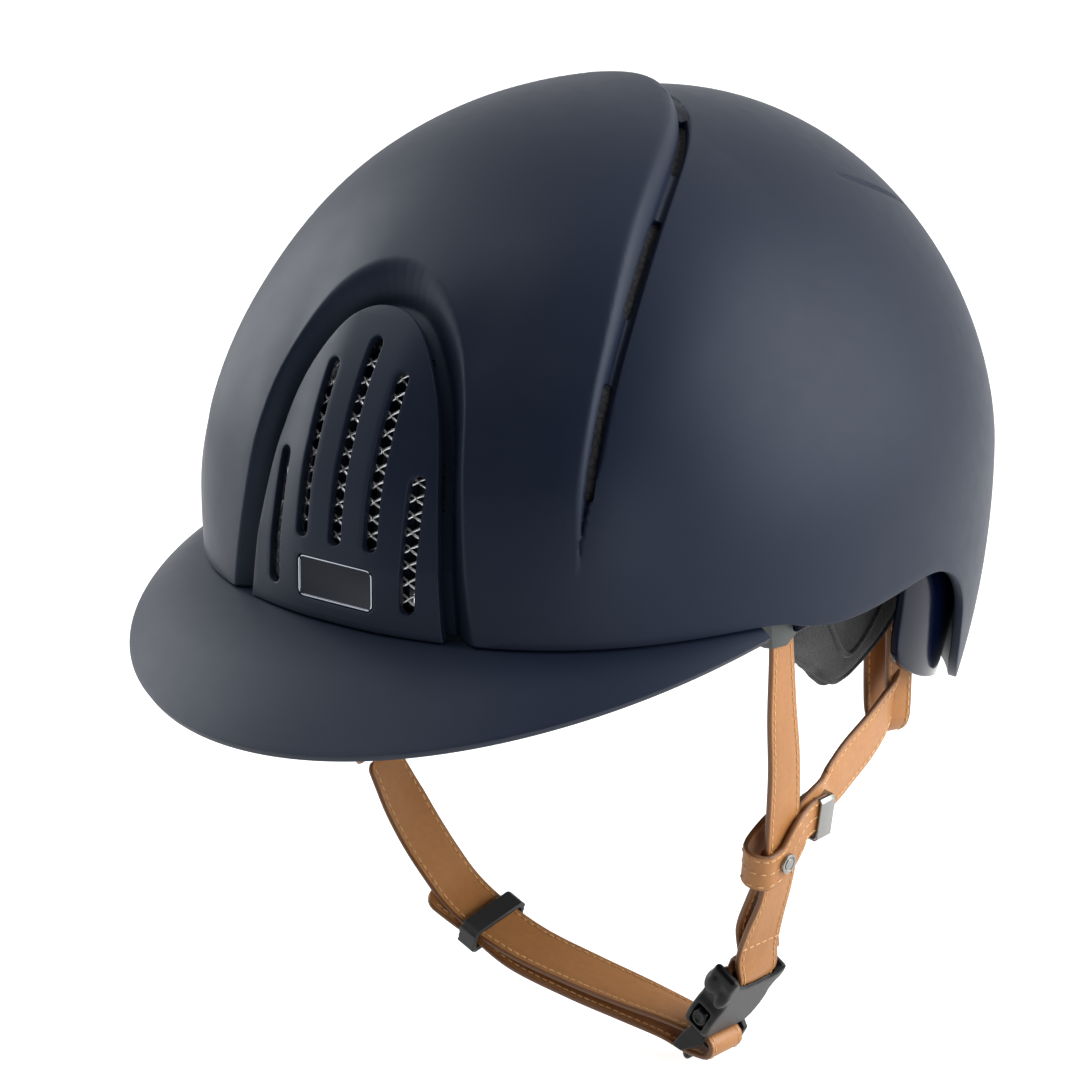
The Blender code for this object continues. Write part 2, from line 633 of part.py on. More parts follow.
def make_badge(name, grow, look):
    """A flat plate with round corners, set square to the front of the grille."""
    face = front_point(0, BADGE_LEVEL, GRILLE_FACE).y + BADGE_DEPTH
    wide, high, corner = BADGE_WIDTH / 2 + grow, BADGE_HEIGHT / 2 + grow, BADGE_CORNER + grow
    outline = []
    for turn in range(4):
        cx = (wide - corner) * (1 if turn in (0, 3) else -1)
        cz = (high - corner) * (1 if turn in (0, 1) else -1)
        for n in range(5):
            angle = math.radians(90 * turn + 22.5 * n)
            outline.append((cx + corner * math.cos(angle),
                            BADGE_LEVEL + cz + corner * math.sin(angle)))
    low = face - (12 * MM if look is None else 0.0)
    plate = prism(name, outline, "Y", low, face + BADGE_WALL + grow)
    return from_bmesh(name, plate, look)


def peak_root(edge, inset):
    """Where the line from the peak's centre to its edge meets the inside of the rim."""
    centre = Vector((0, PEAK_CENTRE, -0.021))
    way = Vector((edge.x, edge.y - PEAK_CENTRE, 0)).normalized()
    point = meet(centre, way, -inset)
    return Vector((point.x, point.y, rim_height(point.y) - GAP))


def make_peak():
    """A crowned sheet from a flange under the rim to its free edge, with rounded edges."""
    bm = bmesh.new()
    rows = []
    turns, steps = 22, 4
    for k in range(turns + 1):
        angle = math.radians(PEAK_TURN * (2 * k / turns - 1))
        front = math.cos(angle)
        edge = Vector((PEAK_HALF * math.sin(angle), PEAK_CENTRE - PEAK_REACH * front,
                       PEAK_EDGE - PEAK_DROP * front ** PEAK_BEND))
        root = peak_root(edge, PEAK_INSET)
        row = [bm.verts.new(peak_root(edge, PEAK_INSET + PEAK_FLANGE * front + 0.5 * MM))]
        for n in range(steps + 1):
            share = n / steps
            point = root.lerp(edge, share)
            point.z += PEAK_CROWN * front * math.sin(math.pi * share)
            row.append(bm.verts.new(point))
        rows.append(row)
    for a, b in zip(rows, rows[1:]):
        for n in range(steps + 1):
            bm.faces.new((a[n], a[n + 1], b[n + 1], b[n]))
    mesh = bpy.data.meshes.new("peak")
    bm.to_mesh(mesh)
    bm.free()
    peak = solidify(place("peak", mesh, "navy"), PEAK_WALL, -1.0)
    return round_edges(peak, 0.9 * MM)


def make_peak_tabs():
    """The gloss ends of the peak's clips, just under the rim."""
    for side, name in SIDES:
        make_block(f"peak_tab_{name}", "gloss_navy", (side * 103.6, -32.5, -21.5),
                   (2.2, 7.0, 9.5), 0.8)


# --- Liner, pads and nape plate -----------------------------------------------------------------

def box_outline(low_a, low_b, high_a, high_b):
    return [(low_a, low_b), (high_a, low_b), (high_a, high_b), (low_a, high_b)]


def make_liner():
    """Expanded foam under the shell, relieved behind the recess."""
    outer = SHELL_WALL + 3 * GAP
    liner = dome_slice("foam_liner", "foam", outer, outer + LINER_WALL,
                       box_outline(-0.2, LINER_RIM, 0.2, 0.2))
    relief = SHELL_WALL + 2 * GAP
    boolean(liner, patch_solid("liner_relief", [
        (whole_outline(RECESS_HALF, relief), -3 * MM),
        (whole_outline(RECESS_HALF, relief), relief),
        (whole_outline(GRILLE_HALF, GRILLE_GAP + relief), RECESS_DEPTH + relief)]))
    return liner


def make_pads():
    """The removable textile inner: brow, crown, nape and two side pads that hang below the rim."""
    outer = SHELL_WALL + LINER_WALL + 5 * GAP
    inner = outer + PAD_WALL
    dome_slice("brow_pad", "textile", outer, inner,
               box_outline(-0.2, -19 * MM, -48 * MM, 24 * MM))
    dome_slice("crown_pad", "textile", outer, inner,
               box_outline(-70 * MM, 52 * MM, 74 * MM, 0.2))
    flap = smooth_path([(y * MM, z * MM, 0) for y, z in (
        (-43, 20), (-43, -20), (-36, -34), (-16, -46), (4, -58), (16, -65.5), (24, -65),
        (34, -57), (40, -44), (42, -20), (42, 20))], 2)
    flap = [(p.x, p.y) for p in flap]
    for side, name in ((1, "side_pad_left"), (-1, "side_pad_right")):
        low, high = (0.0, 0.2) if side > 0 else (-0.2, 0.0)
        dome_slice(name, "textile", outer, inner, flap, low, high)
    dome_slice("nape_pad", "textile", NAPE_OUT + NAPE_WALL + GAP,
               NAPE_OUT + NAPE_WALL + GAP + PAD_WALL,
               box_outline(66 * MM, -70 * MM, 0.2, LINER_RIM - GAP))


def make_nape_plate():
    """The gloss moulding inside the tail of the shell, seated under the liner."""
    outline = smooth_path([(y * MM, z * MM, 0) for y, z in (
        (20, -38), (22, -50), (30, -57), (44, -64), (60, -70), (80, -76), (110, -79),
        (150, -79))], 2)
    outline = [(20 * MM, LINER_RIM - GAP)] + [(p.x, p.y) for p in outline]
    outline += [(0.15, LINER_RIM - GAP)]
    return dome_slice("nape_plate", "gloss_navy", NAPE_OUT, NAPE_OUT + NAPE_WALL, outline)


# --- Harness ------------------------------------------------------------------------------------

SIDES = ((1, "left"), (-1, "right"))


def make_block(name, look, middle, size, edge):
    """A rounded block, sizes in millimetres."""
    bm = bmesh.new()
    bmesh.ops.create_cube(bm, size=1.0)
    for v in bm.verts:
        v.co = Vector([(m + c * s) * MM for m, c, s in zip(middle, v.co, size)])
    block = from_bmesh(name, bm, look)
    return round_edges(block, edge * MM) if edge else block


def make_rod(name, start, end, radius, look=None, sides=16):
    """A round bar between two points."""
    start, end = Vector(start), Vector(end)
    bm = bmesh.new()
    bmesh.ops.create_cone(bm, cap_ends=True, segments=sides, radius1=radius, radius2=radius,
                          depth=(end - start).length)
    turn = (end - start).to_track_quat("Z", "Y").to_matrix().to_4x4()
    bmesh.ops.transform(bm, matrix=Matrix.Translation((start + end) / 2) @ turn, verts=bm.verts[:])
    return from_bmesh(name, bm, look)


def mirrored(rows, side):
    return [(side * r[0], r[1], r[2], side * r[3], *r[4:]) for r in rows]


def make_strap(name, rows, steps=4, ends=3.0):
    """A leather strap through rows of middle, width direction and width."""
    smooth = smooth_path(rows, steps)
    return ribbon(name, [Vector(r[:3]) * MM for r in smooth], [Vector(r[3:6]) for r in smooth],
                  [r[6] * MM for r in smooth], STRAP_WALL, "leather", ends=ends * MM)


def bend_round(centre, start, turn, radius, steps, width):
    """Rows round a bar that lies along Y: start and turn are angles in the XZ plane."""
    rows = []
    for k in range(steps + 1):
        angle = math.radians(start + turn * k / steps)
        rows.append((centre.x / MM + radius / MM * math.cos(angle), centre.y / MM,
                     centre.z / MM + radius / MM * math.sin(angle), 0, 1, 0, width))
    return rows


def make_front_straps():
    around = BAR_RADIUS + GAP + STRAP_WALL / 2
    bend = bend_round(Vector(BUCKLE_BAR), -BUCKLE_TILT, -180, around, 4, 17.8)
    entry, eye, bulge = [(*(buckle_point(x, 0, z) / MM), 0.05, 1, 0, 17.8) for x, z in YOKE_PATH]
    rows = FRONT_STRAP + [entry] + bend + [eye, bulge] + RETURN_STRAP
    make_strap("front_strap_left", rows, 3)
    make_strap("front_strap_right", FAR_STRAP, 3)


def make_rear_straps():
    """Both rear straps start between the tails of their slider."""
    near = slider_frame(FRONT_STRAP, SLIDER_AT, 1)
    far = slider_frame(FAR_STRAP, FAR_SLIDER_AT, -1)
    for (side, name), frame in zip(SIDES, (near, far)):
        rows = [slider_row(frame, a, 12.2) for a in (9.5, 14.0, 18.5, 22.5, 25.0)]
        if side < 0:
            rows += FAR_REAR_STRAP + mirrored(REAR_STRAP[3:], side)
        else:
            rows += REAR_STRAP
        make_strap(f"rear_strap_{name}", rows, 3)


def slider_frame(rows, level, side):
    """Axes of a slider on its strap: rearwards, outwards and up along the leather."""
    for a, b in zip(rows, rows[1:]):
        if b[2] * MM <= -level <= a[2] * MM:
            break
    share = (a[2] * MM + level) / ((a[2] - b[2]) * MM)
    middle = Vector(a[:3]).lerp(Vector(b[:3]), share)
    up = (Vector(a[:3]) - Vector(b[:3])).normalized()
    rear = (Vector((0, 1, 0)) - up * up.y).normalized()
    out = rear.cross(up) * side
    return middle - out * 1.15, rear, out, up


def slider_point(frame, a, v, lift):
    middle, rear, out, up = frame
    return (middle + rear * a + out * v + up * lift) * MM


def slider_row(frame, a, width):
    lift = 9.3 + 0.06 * max(0.0, a - 18.0)
    return (*(slider_point(frame, a, 0, lift) / MM), *frame[3], width)


def make_sliders():
    """On each side: the band round the front strap, its snap, and the clip on its tails."""
    for (side, name), (rows, level) in zip(SIDES, ((FRONT_STRAP, SLIDER_AT),
                                                   (FAR_STRAP, FAR_SLIDER_AT))):
        frame = slider_frame(rows, level, side)
        path = [slider_point(frame, *p) for p in smooth_path(SLIDER_BAND, 2)]
        ribbon(f"slider_loop_{name}", path, [frame[3]] * len(path), LOOP_WIDTH, LOOP_WALL,
               "leather")
        base = slider_point(frame, SNAP_AT[0], SNAP_AT[1] + 0.9 + 0.3, SNAP_AT[2])
        snap = make_rod(f"snap_{name}", base, base + frame[2] * 1.5 * MM, SNAP_RADIUS, "gunmetal")
        round_edges(snap, 0.5 * MM)
        half_out, half_up, corner = 3.75, LOOP_WIDTH / MM / 2 + 0.8, 0.8
        ring = []
        for v, u in ((1, 1), (-1, 1), (-1, -1), (1, -1)):
            spots = [(v * (half_out - corner), u * half_up), (v * half_out, u * (half_up - corner))]
            ring += spots if v == -u else spots[::-1]
        path = [slider_point(frame, CLIP_AT, v, 9.4 + u) for v, u in ring]
        ribbon(f"strap_clip_{name}", path, [frame[1]] * len(path), CLIP_WIDTH, CLIP_WALL,
               "gunmetal", closed=True)


def make_rear_rings():
    """The leather ring that carries each rear strap, and the hanger plate over both."""
    along = Vector((*RING_DIRECTION, 0))
    through = Vector((RING_DIRECTION[1], -RING_DIRECTION[0], 0))
    middle = Vector((*RING_MIDDLE, 0))
    for side, name in SIDES:
        flip = Vector((side, 1, 1))
        path = []
        for a, z in [(-5.4, HANGER_TOP / MM - 3.9), (-5.9, -30), (-6.4, -50), (-6.8, -68)]:
            path.append(middle + along * a * MM + Vector((0, 0, z * MM)))
        for n in range(7):
            angle = math.radians(180 + 30 * n)
            path.append(middle + along * RING_HALF * math.cos(angle)
                        + Vector((0, 0, RING_FOOT + RING_HALF * (1.3 + 1.3 * math.sin(angle)))))
        for a, z in [(6.8, -68), (6.4, -50), (5.9, -30), (5.4, HANGER_TOP / MM - 3.9)]:
            path.append(middle + along * a * MM + Vector((0, 0, z * MM)))
        path = [p * flip for p in path]
        ribbon(f"rear_loop_{name}", path, [through * flip] * len(path), RING_WIDTH, STRAP_WALL,
               "leather")
        outline = []
        for a, t in ((-8, -5.2), (13, -5.2), (13, 5.2), (-8, 5.2)):
            spot = middle + along * a * MM + through * t * MM
            outline.append((side * spot.x, spot.y))
        plate = prism(f"rear_hanger_{name}", outline, "Z", HANGER_TOP - HANGER_WALL, HANGER_TOP)
        round_edges(from_bmesh(f"rear_hanger_{name}", plate, "black_plastic"), 0.8 * MM)


def make_guides():
    """At each temple: the hanger of the front strap and the grey guide that it leaves by."""
    outline = [(-50, -23.6), (-28, -24.6), (-32, -30.5), (-40, -35.0), (-49, -34.0)]
    for side, name in SIDES:
        top = HANGER_TOP / MM
        make_block(f"front_hanger_{name}", "black_plastic", (side * 100.4, -37.5, top - 1.5),
                   (6.5, 17, 3.0), 0.8)
        low, high = sorted((side * 97.2 * MM, side * 102.2 * MM))
        guide = from_bmesh(f"strap_guide_{name}",
                           prism("guide", [(y * MM, z * MM) for y, z in outline], "X", low, high),
                           "guide_grey")
        slot = make_block(f"guide_slot_{name}", None, (side * 100.2, -36.4, -30),
                          (3.0, 14.8, 40), 0)
        boolean(guide, slot)
        round_edges(guide, 0.6 * MM, 50, 1)


def make_chin_strap():
    bar = buckle_point(CROSS_BAR[0], 0, CROSS_BAR[1])
    around = TONGUE_BAR_RADIUS + GAP + STRAP_WALL / 2 + 0.5 * MM
    bend = bend_round(bar, 90, -180, around, 6, 18.0)
    make_strap("chin_strap", CHIN_STRAP + bend + CHIN_RETURN, 3, 5.0)


def make_keeper():
    """The moulded keeper that holds the free end against the chin strap."""
    middle, run = Vector(KEEPER_ROW), Vector(KEEPER_RUN).normalized()
    side = Vector(CHIN_STRAP[6][3:6])
    side = (side - run * side.dot(run)).normalized()
    rise = run.cross(side)
    ring = []
    for v, u in ((1, 1), (-1, 1), (-1, -1), (1, -1)):
        spots = [(v * 9.4, u * 3.7), (v * 10.7, u * 2.4)]
        ring += spots if v == -u else spots[::-1]
    path = [(middle + side * v + rise * u) * MM for v, u in ring]
    keeper = ribbon("strap_keeper", path, [run] * len(path), KEEPER_WIDTH, KEEPER_WALL,
                    "rubber", closed=True)
    return round_edges(keeper, 0.4 * MM, 50, 1)


# --- Buckle -------------------------------------------------------------------------------------

buckle_frame = Matrix.Translation(BUCKLE_BAR) @ Matrix.Rotation(math.radians(BUCKLE_TILT), 4, "Y")


def buckle_point(x, y, z):
    return buckle_frame @ Vector((x, y, z))


def seat(thing):
    """Turn a piece that was modelled upright into the buckle's place."""
    thing.matrix_world = buckle_frame
    return thing


def whole_profile(half):
    """A closed outline from its right half."""
    right = [(y * MM, z * MM) for y, z in half]
    return right + [(-y, z) for y, z in reversed(right) if y > 0]


def make_socket():
    """Yoke and bar for the strap above, and below it the housing with a window on each side."""
    body = prism("socket", whole_profile(SOCKET_HALF), "X", -SOCKET_WALL, SOCKET_WALL)
    socket = seat(round_edges(from_bmesh("buckle_socket", body, "black_plastic"), 1.3 * MM))
    wide, deep = STRAP_SLOT
    boolean(socket, seat(make_block("strap_slot", None, (0, 0, 3.4),
                                    (2 * deep / MM, 2 * wide / MM, 17), 0)))
    wide, deep = CHANNEL
    boolean(socket, seat(make_block("channel", None, (0, 0, -15.1),
                                    (2 * deep / MM, 2 * wide / MM, 15), 0)))
    bar = seat(make_rod("bar", (0, -12 * MM, 0), (0, 12 * MM, 0), BAR_RADIUS))
    low, high = WINDOW[0] / MM, WINDOW[1] / MM
    boolean(socket, seat(make_block("windows", None, (0, 0, (low + high) / 2),
                                    (2 * deep / MM, 40, high - low), 0)))
    return boolean(socket, bar, "UNION")


def make_tongue():
    """The plug's centre blade and shoulder, and the ladder that the chin strap runs round."""
    tongue = seat(make_block("buckle_tongue", "black_plastic", (0, 0, -16.0), (4.6, 6.4, 15), 0))
    shoulder = seat(make_block("shoulder", None, (-0.15, 0, -22.7), (4.7, 25.6, 1.4), 0))
    boolean(tongue, shoulder, "UNION")
    for k, side in enumerate((1, -1)):
        low, high = sorted((side * 10.6 * MM, side * 13.0 * MM))
        outline = [(x * MM, z * MM) for x, z in RAIL_OUTLINE]
        rail = seat(from_bmesh(f"rail_{k}", prism("rail", outline, "Y", low, high)))
        boolean(tongue, rail, "UNION")
    for (x, z), radius in ((CROSS_BAR, TONGUE_BAR_RADIUS), (END_BAR, 1.25 * MM)):
        bar = seat(make_rod("ladder_bar", (x, -11.2 * MM, z), (x, 11.2 * MM, z), radius))
        boolean(tongue, bar, "UNION")
    return tongue


def make_arms():
    """The two springy arms whose pads show in the socket's windows."""
    for side, name in ((-1, "front"), (1, "rear")):
        outline = [(side * y * MM, z * MM) for y, z in ARM_HALF]
        arm = prism("arm", outline, "X", -2.2 * MM, 2.2 * MM)
        seat(round_edges(from_bmesh(f"buckle_arm_{name}", arm, "black_plastic"), 0.4 * MM, 50, 1))


slot_cutters = make_slot_cutters()
make_shell(slot_cutters)
make_grille(slot_cutters)
make_badge("badge_plate", 0.0, "black_plastic")
make_peak()
make_peak_tabs()
make_liner()
make_pads()
make_nape_plate()
make_guides()
make_front_straps()
make_sliders()
make_rear_straps()
make_rear_rings()
make_chin_strap()
make_keeper()
make_socket()
make_tongue()
make_arms()
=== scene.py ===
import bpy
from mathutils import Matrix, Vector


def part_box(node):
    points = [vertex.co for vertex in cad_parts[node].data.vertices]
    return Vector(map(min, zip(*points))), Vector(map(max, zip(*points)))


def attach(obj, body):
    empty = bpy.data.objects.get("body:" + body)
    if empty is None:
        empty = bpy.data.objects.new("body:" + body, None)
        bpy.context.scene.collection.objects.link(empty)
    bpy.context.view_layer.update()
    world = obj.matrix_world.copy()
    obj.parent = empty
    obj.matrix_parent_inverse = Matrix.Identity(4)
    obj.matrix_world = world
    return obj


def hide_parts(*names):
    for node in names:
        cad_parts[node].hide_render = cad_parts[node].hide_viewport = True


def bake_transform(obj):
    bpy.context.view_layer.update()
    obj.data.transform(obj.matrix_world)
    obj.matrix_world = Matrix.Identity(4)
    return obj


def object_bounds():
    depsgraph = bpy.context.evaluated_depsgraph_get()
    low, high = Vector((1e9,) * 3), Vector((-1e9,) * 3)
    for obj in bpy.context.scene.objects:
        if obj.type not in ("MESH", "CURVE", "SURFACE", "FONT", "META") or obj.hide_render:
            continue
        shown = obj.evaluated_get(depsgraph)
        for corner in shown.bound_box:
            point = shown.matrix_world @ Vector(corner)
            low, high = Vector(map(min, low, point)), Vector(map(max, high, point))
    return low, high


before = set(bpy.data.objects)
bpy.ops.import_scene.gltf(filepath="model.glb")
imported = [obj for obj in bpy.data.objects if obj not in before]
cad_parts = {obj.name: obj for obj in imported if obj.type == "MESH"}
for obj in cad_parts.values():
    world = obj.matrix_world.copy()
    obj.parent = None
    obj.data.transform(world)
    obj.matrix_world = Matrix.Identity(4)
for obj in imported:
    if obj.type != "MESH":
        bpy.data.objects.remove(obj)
cad_box = [list(corner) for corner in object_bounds()]

import math

import bpy
import numpy as np
from mathutils import Matrix, Vector
from mathutils.bvhtree import BVHTree

# --- Outer shell
# The shell is one injection-moulded dome, 3 mm thick, painted a satin matte navy. A raised band
# runs over the front and crown, a groove with three slots a side lies behind its edge, and the
# recess for the grille is moulded into its face.
MM = 0.001
HALF_WIDTH = 113 * MM
FRONT_LENGTH = 131.2 * MM
REAR_LENGTH = 143.2 * MM
CROWN_HEIGHT = 116.5 * MM
LOWER_DEPTH = 188 * MM
CROWN_LEAN = 8.5 * MM
SIDE_BEND, FRONT_BEND, REAR_BEND = 1.944, 2.28, 2.21
CROWN_BEND, LOWER_BEND, FRONT_FULLNESS = 1.821, 2.0, 0.386
SHELL_WALL = 3 * MM
BAND_RISE, BAND_FOOT, BAND_SWELL, BAND_START = 6.6 * MM, -4 * MM, 0.7, 0.3
BAND_BACK, BAND_SPREAD, BAND_HALF = 22 * MM, 43.2 * MM, 74.2 * MM
BAND_STEP, STEP_ROUND = 0.5 * MM, 2.4
GROOVE_DEPTH, GROOVE_HALF, GROOVE_BACK = 2.0 * MM, 2.0 * MM, 1.5 * MM
VENT_SPANS = ((22.0, 42.5), (50.8, 63.6), (67.0, 73.7))
VENT_WIDTH, VENT_REACH = 3.0 * MM, 8 * MM
RIM = [(-150, -20.5), (-100, -20.0), (-62, -19.5), (-46, -20.5), (-36, -23.2), (-23, -25.0),
       (-8, -24.8), (8, -23.2), (22, -22.0), (34, -23.5), (46, -29.5), (55, -40.0), (60, -54.0),
       (67, -68.0), (82, -77.0), (110, -80.0), (150, -80.0)]
RECESS_HALF = [(50.5, -45), (48, -23), (44, 5), (40.5, 30), (36, 50), (27.5, 70), (15.5, 82.5),
               (0, 87)]
GRILLE_HALF = [(39.5, -45), (38, -23), (35.2, 5), (31.6, 32), (26.4, 51), (17.6, 66.5),
               (9.5, 73.4), (0, 75.5)]
RECESS_DEPTH, FACE_DIP, DIP_REACH, FLANK_BACK = 7 * MM, 2.5 * MM, 35 * MM, 4.6 * MM
FLANK_INNER, FLANK_OUTER, FLANK_FOOT, FLANK_TOP = (10, 36), (48, 84), (-38, 34), (62, 104)
GRILLE_GAP = 2.4 * MM
SLOTS = [(0.0, 4.5, 67.2), (13.4, 4.8, 59.2), (-13.4, 4.8, 59.2), (26.2, -13.0, 30.0),
         (-26.2, -13.0, 30.0)]
SLOT_MARGIN = 4.2 * MM
SOFT_RIM, SOFT_HOOD, HOOD_FOOT, HOOD_SPAN = 0.035, 0.5, 50 * MM, 28 * MM
CREASE_DEPTH, CREASE_HALF = 0.8 * MM, 1.5 * MM
SCAN, SHELL_COLUMNS, SHELL_ROWS = 1440, 210, 66
FINE_FOOT, FINE_HALF, SHARP, RIM_ROUND = 4 * MM, 82 * MM, 65, 0.4 * MM
CREASE = [(57.6, 46), (58.4, 54), (58.8, 62), (58.5, 70), (57.4, 78), (55.4, 86)]


def smooth_path(points, steps):
    """A curve through the points, with the same number of steps between each two."""
    points = [np.array(p, float) for p in points]
    ends = [2 * points[0] - points[1]] + points + [2 * points[-1] - points[-2]]
    path = []
    for k in range(len(points) - 1):
        a, b, c, d = ends[k:k + 4]
        for n in range(steps):
            t = n / steps
            path.append(0.5 * (2 * b + (c - a) * t + (2 * a - 5 * b + 4 * c - d) * t * t
                               + (3 * b - a - 3 * c + d) * t ** 3))
    return np.array(path + [points[-1]])


def band_height(z):
    """How far the raised band stands above the dome at a height."""
    share = np.clip((z - BAND_FOOT) / (CROWN_HEIGHT - BAND_FOOT), 0, 1)
    start = np.clip(share / BAND_START, 0, 1)
    return BAND_RISE * share ** BAND_SWELL * start * start * (3 - 2 * start)


def gauge(points, grow):
    """1 on the dome that is grown by a distance, less inside it and more outside."""
    x, y, z = np.abs(points[:, 0]), points[:, 1], points[:, 2]
    high = CROWN_HEIGHT + grow
    back = y - CROWN_LEAN * (np.maximum(z, 0) / high) ** 2
    front = back < 0
    share = np.abs(back) / (np.where(front, FRONT_LENGTH, REAR_LENGTH) + grow)
    bend = SIDE_BEND + FRONT_FULLNESS * np.where(front, np.minimum(share, 1), 0)
    rise = np.where(z > 0, (np.maximum(z, 0) / high) ** CROWN_BEND,
                    (np.maximum(-z, 0) / (LOWER_DEPTH + grow)) ** LOWER_BEND)
    ends = share ** np.where(front, FRONT_BEND, REAR_BEND)
    return (x / (HALF_WIDTH + grow)) ** bend + ends + rise


def unit(ways):
    return ways / np.linalg.norm(ways, axis=-1, keepdims=True)


def outward(points, grow=0.0):
    """The dome's normals at points."""
    sides = []
    for axis in range(3):
        step = np.zeros(3)
        step[axis] = 0.1 * MM
        sides.append(gauge(points + step, grow) - gauge(points - step, grow))
    return unit(np.stack(sides, 1))


def reach(starts, ways, grow=0.0, banded=False):
    """Where rays from points inside the dome leave it."""
    low = np.zeros(len(ways))
    high = np.full(len(ways), 0.5)
    for _ in range(26):
        middle = (low + high) / 2
        points = starts + ways * middle[:, None]
        swell = grow + (band_height(points[:, 2]) if banded else 0.0)
        inside = gauge(points, swell) < 1
        low = np.where(inside, middle, low)
        high = np.where(inside, high, middle)
    return starts + ways * low[:, None]


def ease(value, low, high):
    """0 below a level in millimetres, 1 above another and smooth between."""
    share = np.clip((value / MM - low) / (high - low), 0, 1)
    return share * share * (3 - 2 * share)


def flank(x, z):
    """How far the front's flanks stand back from the plain dome."""
    x = np.abs(x)
    return (FLANK_BACK * ease(x, *FLANK_INNER) * (1 - ease(x, *FLANK_OUTER))
            * ease(z, *FLANK_FOOT) * (1 - ease(z, *FLANK_TOP)))


def dip(z):
    """How much deeper the grille lies at a height."""
    return FACE_DIP * np.clip(z / DIP_REACH, 0, 1)


def front_points(x, z, depth):
    """Points of the banded front, seen from the front at (x, z), pushed in by depths."""
    starts = np.stack([x, np.zeros(len(x)), z], 1)
    points = reach(starts, np.tile([0.0, -1.0, 0.0], (len(x), 1)), 0.0, True)
    points -= (depth + dip(z))[:, None] * outward(points, band_height(points[:, 2]))
    points[:, 1] += flank(x, z)
    return points


def whole_line(half, grow=0.0, steps=4):
    """A front outline from its right half: smoothed, mirrored and moved outwards."""
    right = [(x * MM, z * MM) for x, z in half]
    line = smooth_path(right + [(-x, z) for x, z in right[-2::-1]], steps)
    run = np.roll(line, -1, 0) - np.roll(line, 1, 0)
    run[0], run[-1] = line[1] - line[0], line[-1] - line[-2]
    return line + grow * unit(np.stack([run[:, 1], -run[:, 0]], 1))


def depth_inside(spots, line):
    """Distance of flat places from a closed line, positive inside it."""
    nearest = np.full(len(spots), 1.0)
    inside = np.zeros(len(spots), bool)
    for a, b in zip(line, np.roll(line, -1, 0)):
        run = b - a
        share = np.clip((spots - a) @ run / max(run @ run, 1e-12), 0, 1)
        nearest = np.minimum(nearest, np.linalg.norm(spots - a - share[:, None] * run, axis=1))
        if a[1] != b[1]:
            crossing = (a[1] > spots[:, 1]) != (b[1] > spots[:, 1])
            at = a[0] + (spots[:, 1] - a[1]) * (b[0] - a[0]) / (b[1] - a[1])
            inside ^= crossing & (spots[:, 0] < at)
    return np.where(inside, nearest, -nearest)


def band_distance(points):
    """Distance over the dome from the band's rear edge, positive on the band."""
    x, y = points[:, 0], points[:, 1]
    slope = np.stack([2 * x / BAND_SPREAD, np.ones(len(x)), np.zeros(len(x))], 1)
    steep = np.linalg.norm(slope, axis=1)
    plan = (BAND_BACK - x * x / BAND_SPREAD - y) / steep
    slope /= steep[:, None]
    along = 1 - (slope * outward(points)).sum(1) ** 2
    return plan / np.sqrt(np.maximum(along, 0.04))


def rim_height(y):
    line = smooth_path(RIM, 4) * MM
    return np.interp(y, line[:, 0], line[:, 1])


recess_line = whole_line(RECESS_HALF)
foot_line = whole_line(GRILLE_HALF, GRILLE_GAP)
crease_plan = smooth_path(CREASE, 6) * MM
crease_line = reach(np.column_stack([crease_plan, np.zeros(len(crease_plan))]),
                    np.tile([0.0, 0.0, 1.0], (len(crease_plan), 1)))


def crease_distance(points):
    """Distance from the crease on either side, and the share of the way along it."""
    folded = np.column_stack([np.abs(points[:, 0]), points[:, 1:]])
    nearest, share = np.full(len(points), 1.0), np.zeros(len(points))
    for k, spot in enumerate(crease_line):
        away = np.linalg.norm(folded - spot, axis=1)
        share = np.where(away < nearest, k / (len(crease_line) - 1), share)
        nearest = np.minimum(nearest, away)
    return nearest, share


def recess_depths(points, rim, floor):
    """Distances inside the recess's rim and inside its floor, and the share of the way down."""
    flat = points[:, [0, 2]]
    outer, inner = depth_inside(flat, rim), depth_inside(flat, floor)
    outer = np.where(points[:, 1] < 0, outer, -1)
    return outer, inner, np.where(
        outer > 0, outer / np.maximum(outer - np.minimum(inner, 0), 1e-6), 0)


def shell_surface(points):
    """Moves points along their rays on to the moulded outside of the shell."""
    ways = unit(points)
    middle = np.zeros((len(points), 3))
    plain = reach(middle, ways)
    banded = reach(middle, ways, banded=True)
    away = band_distance(plain)
    rise = band_height(banded[:, 2])
    share = 1 - (1 - np.clip(away / (BAND_STEP + 0.95 * rise), 0, 1)) ** STEP_ROUND
    points = plain + (banded - plain) * share[:, None]
    normal = outward(points, rise * share)
    across = np.clip(1 - ((away + GROOVE_BACK) / GROOVE_HALF) ** 2, 0, 1)
    ends = np.clip((BAND_HALF - np.abs(plain[:, 0])) / BAND_STEP, 0, 1)
    sunk = GROOVE_DEPTH * across * ends * (away < BAND_STEP)
    near, way = crease_distance(plain)
    sunk += (CREASE_DEPTH * np.clip(1 - (near / CREASE_HALF) ** 2, 0, 1)
             * np.sin(np.pi * way) ** 0.5)
    outer, inner, share = recess_depths(points, recess_line, foot_line)
    soft = SOFT_RIM + SOFT_HOOD * np.clip((points[:, 2] - HOOD_FOOT) / HOOD_SPAN, 0, 1) ** 2
    share = (np.sqrt(share ** 2 + soft ** 2) - soft) / (np.sqrt(1 + soft ** 2) - soft)
    sunk += (RECESS_DEPTH + dip(points[:, 2])) * share
    back = flank(points[:, 0], points[:, 2]) * (points[:, 1] < 0)
    points = points - normal * sunk[:, None]
    points[:, 1] += back
    return points, away, outer, inner, near


def pick(*things):
    """Selects objects and makes the first one active."""
    bpy.ops.object.select_all(action="DESELECT")
    for thing in things:
        thing.select_set(True)
    bpy.context.view_layer.objects.active = things[0]


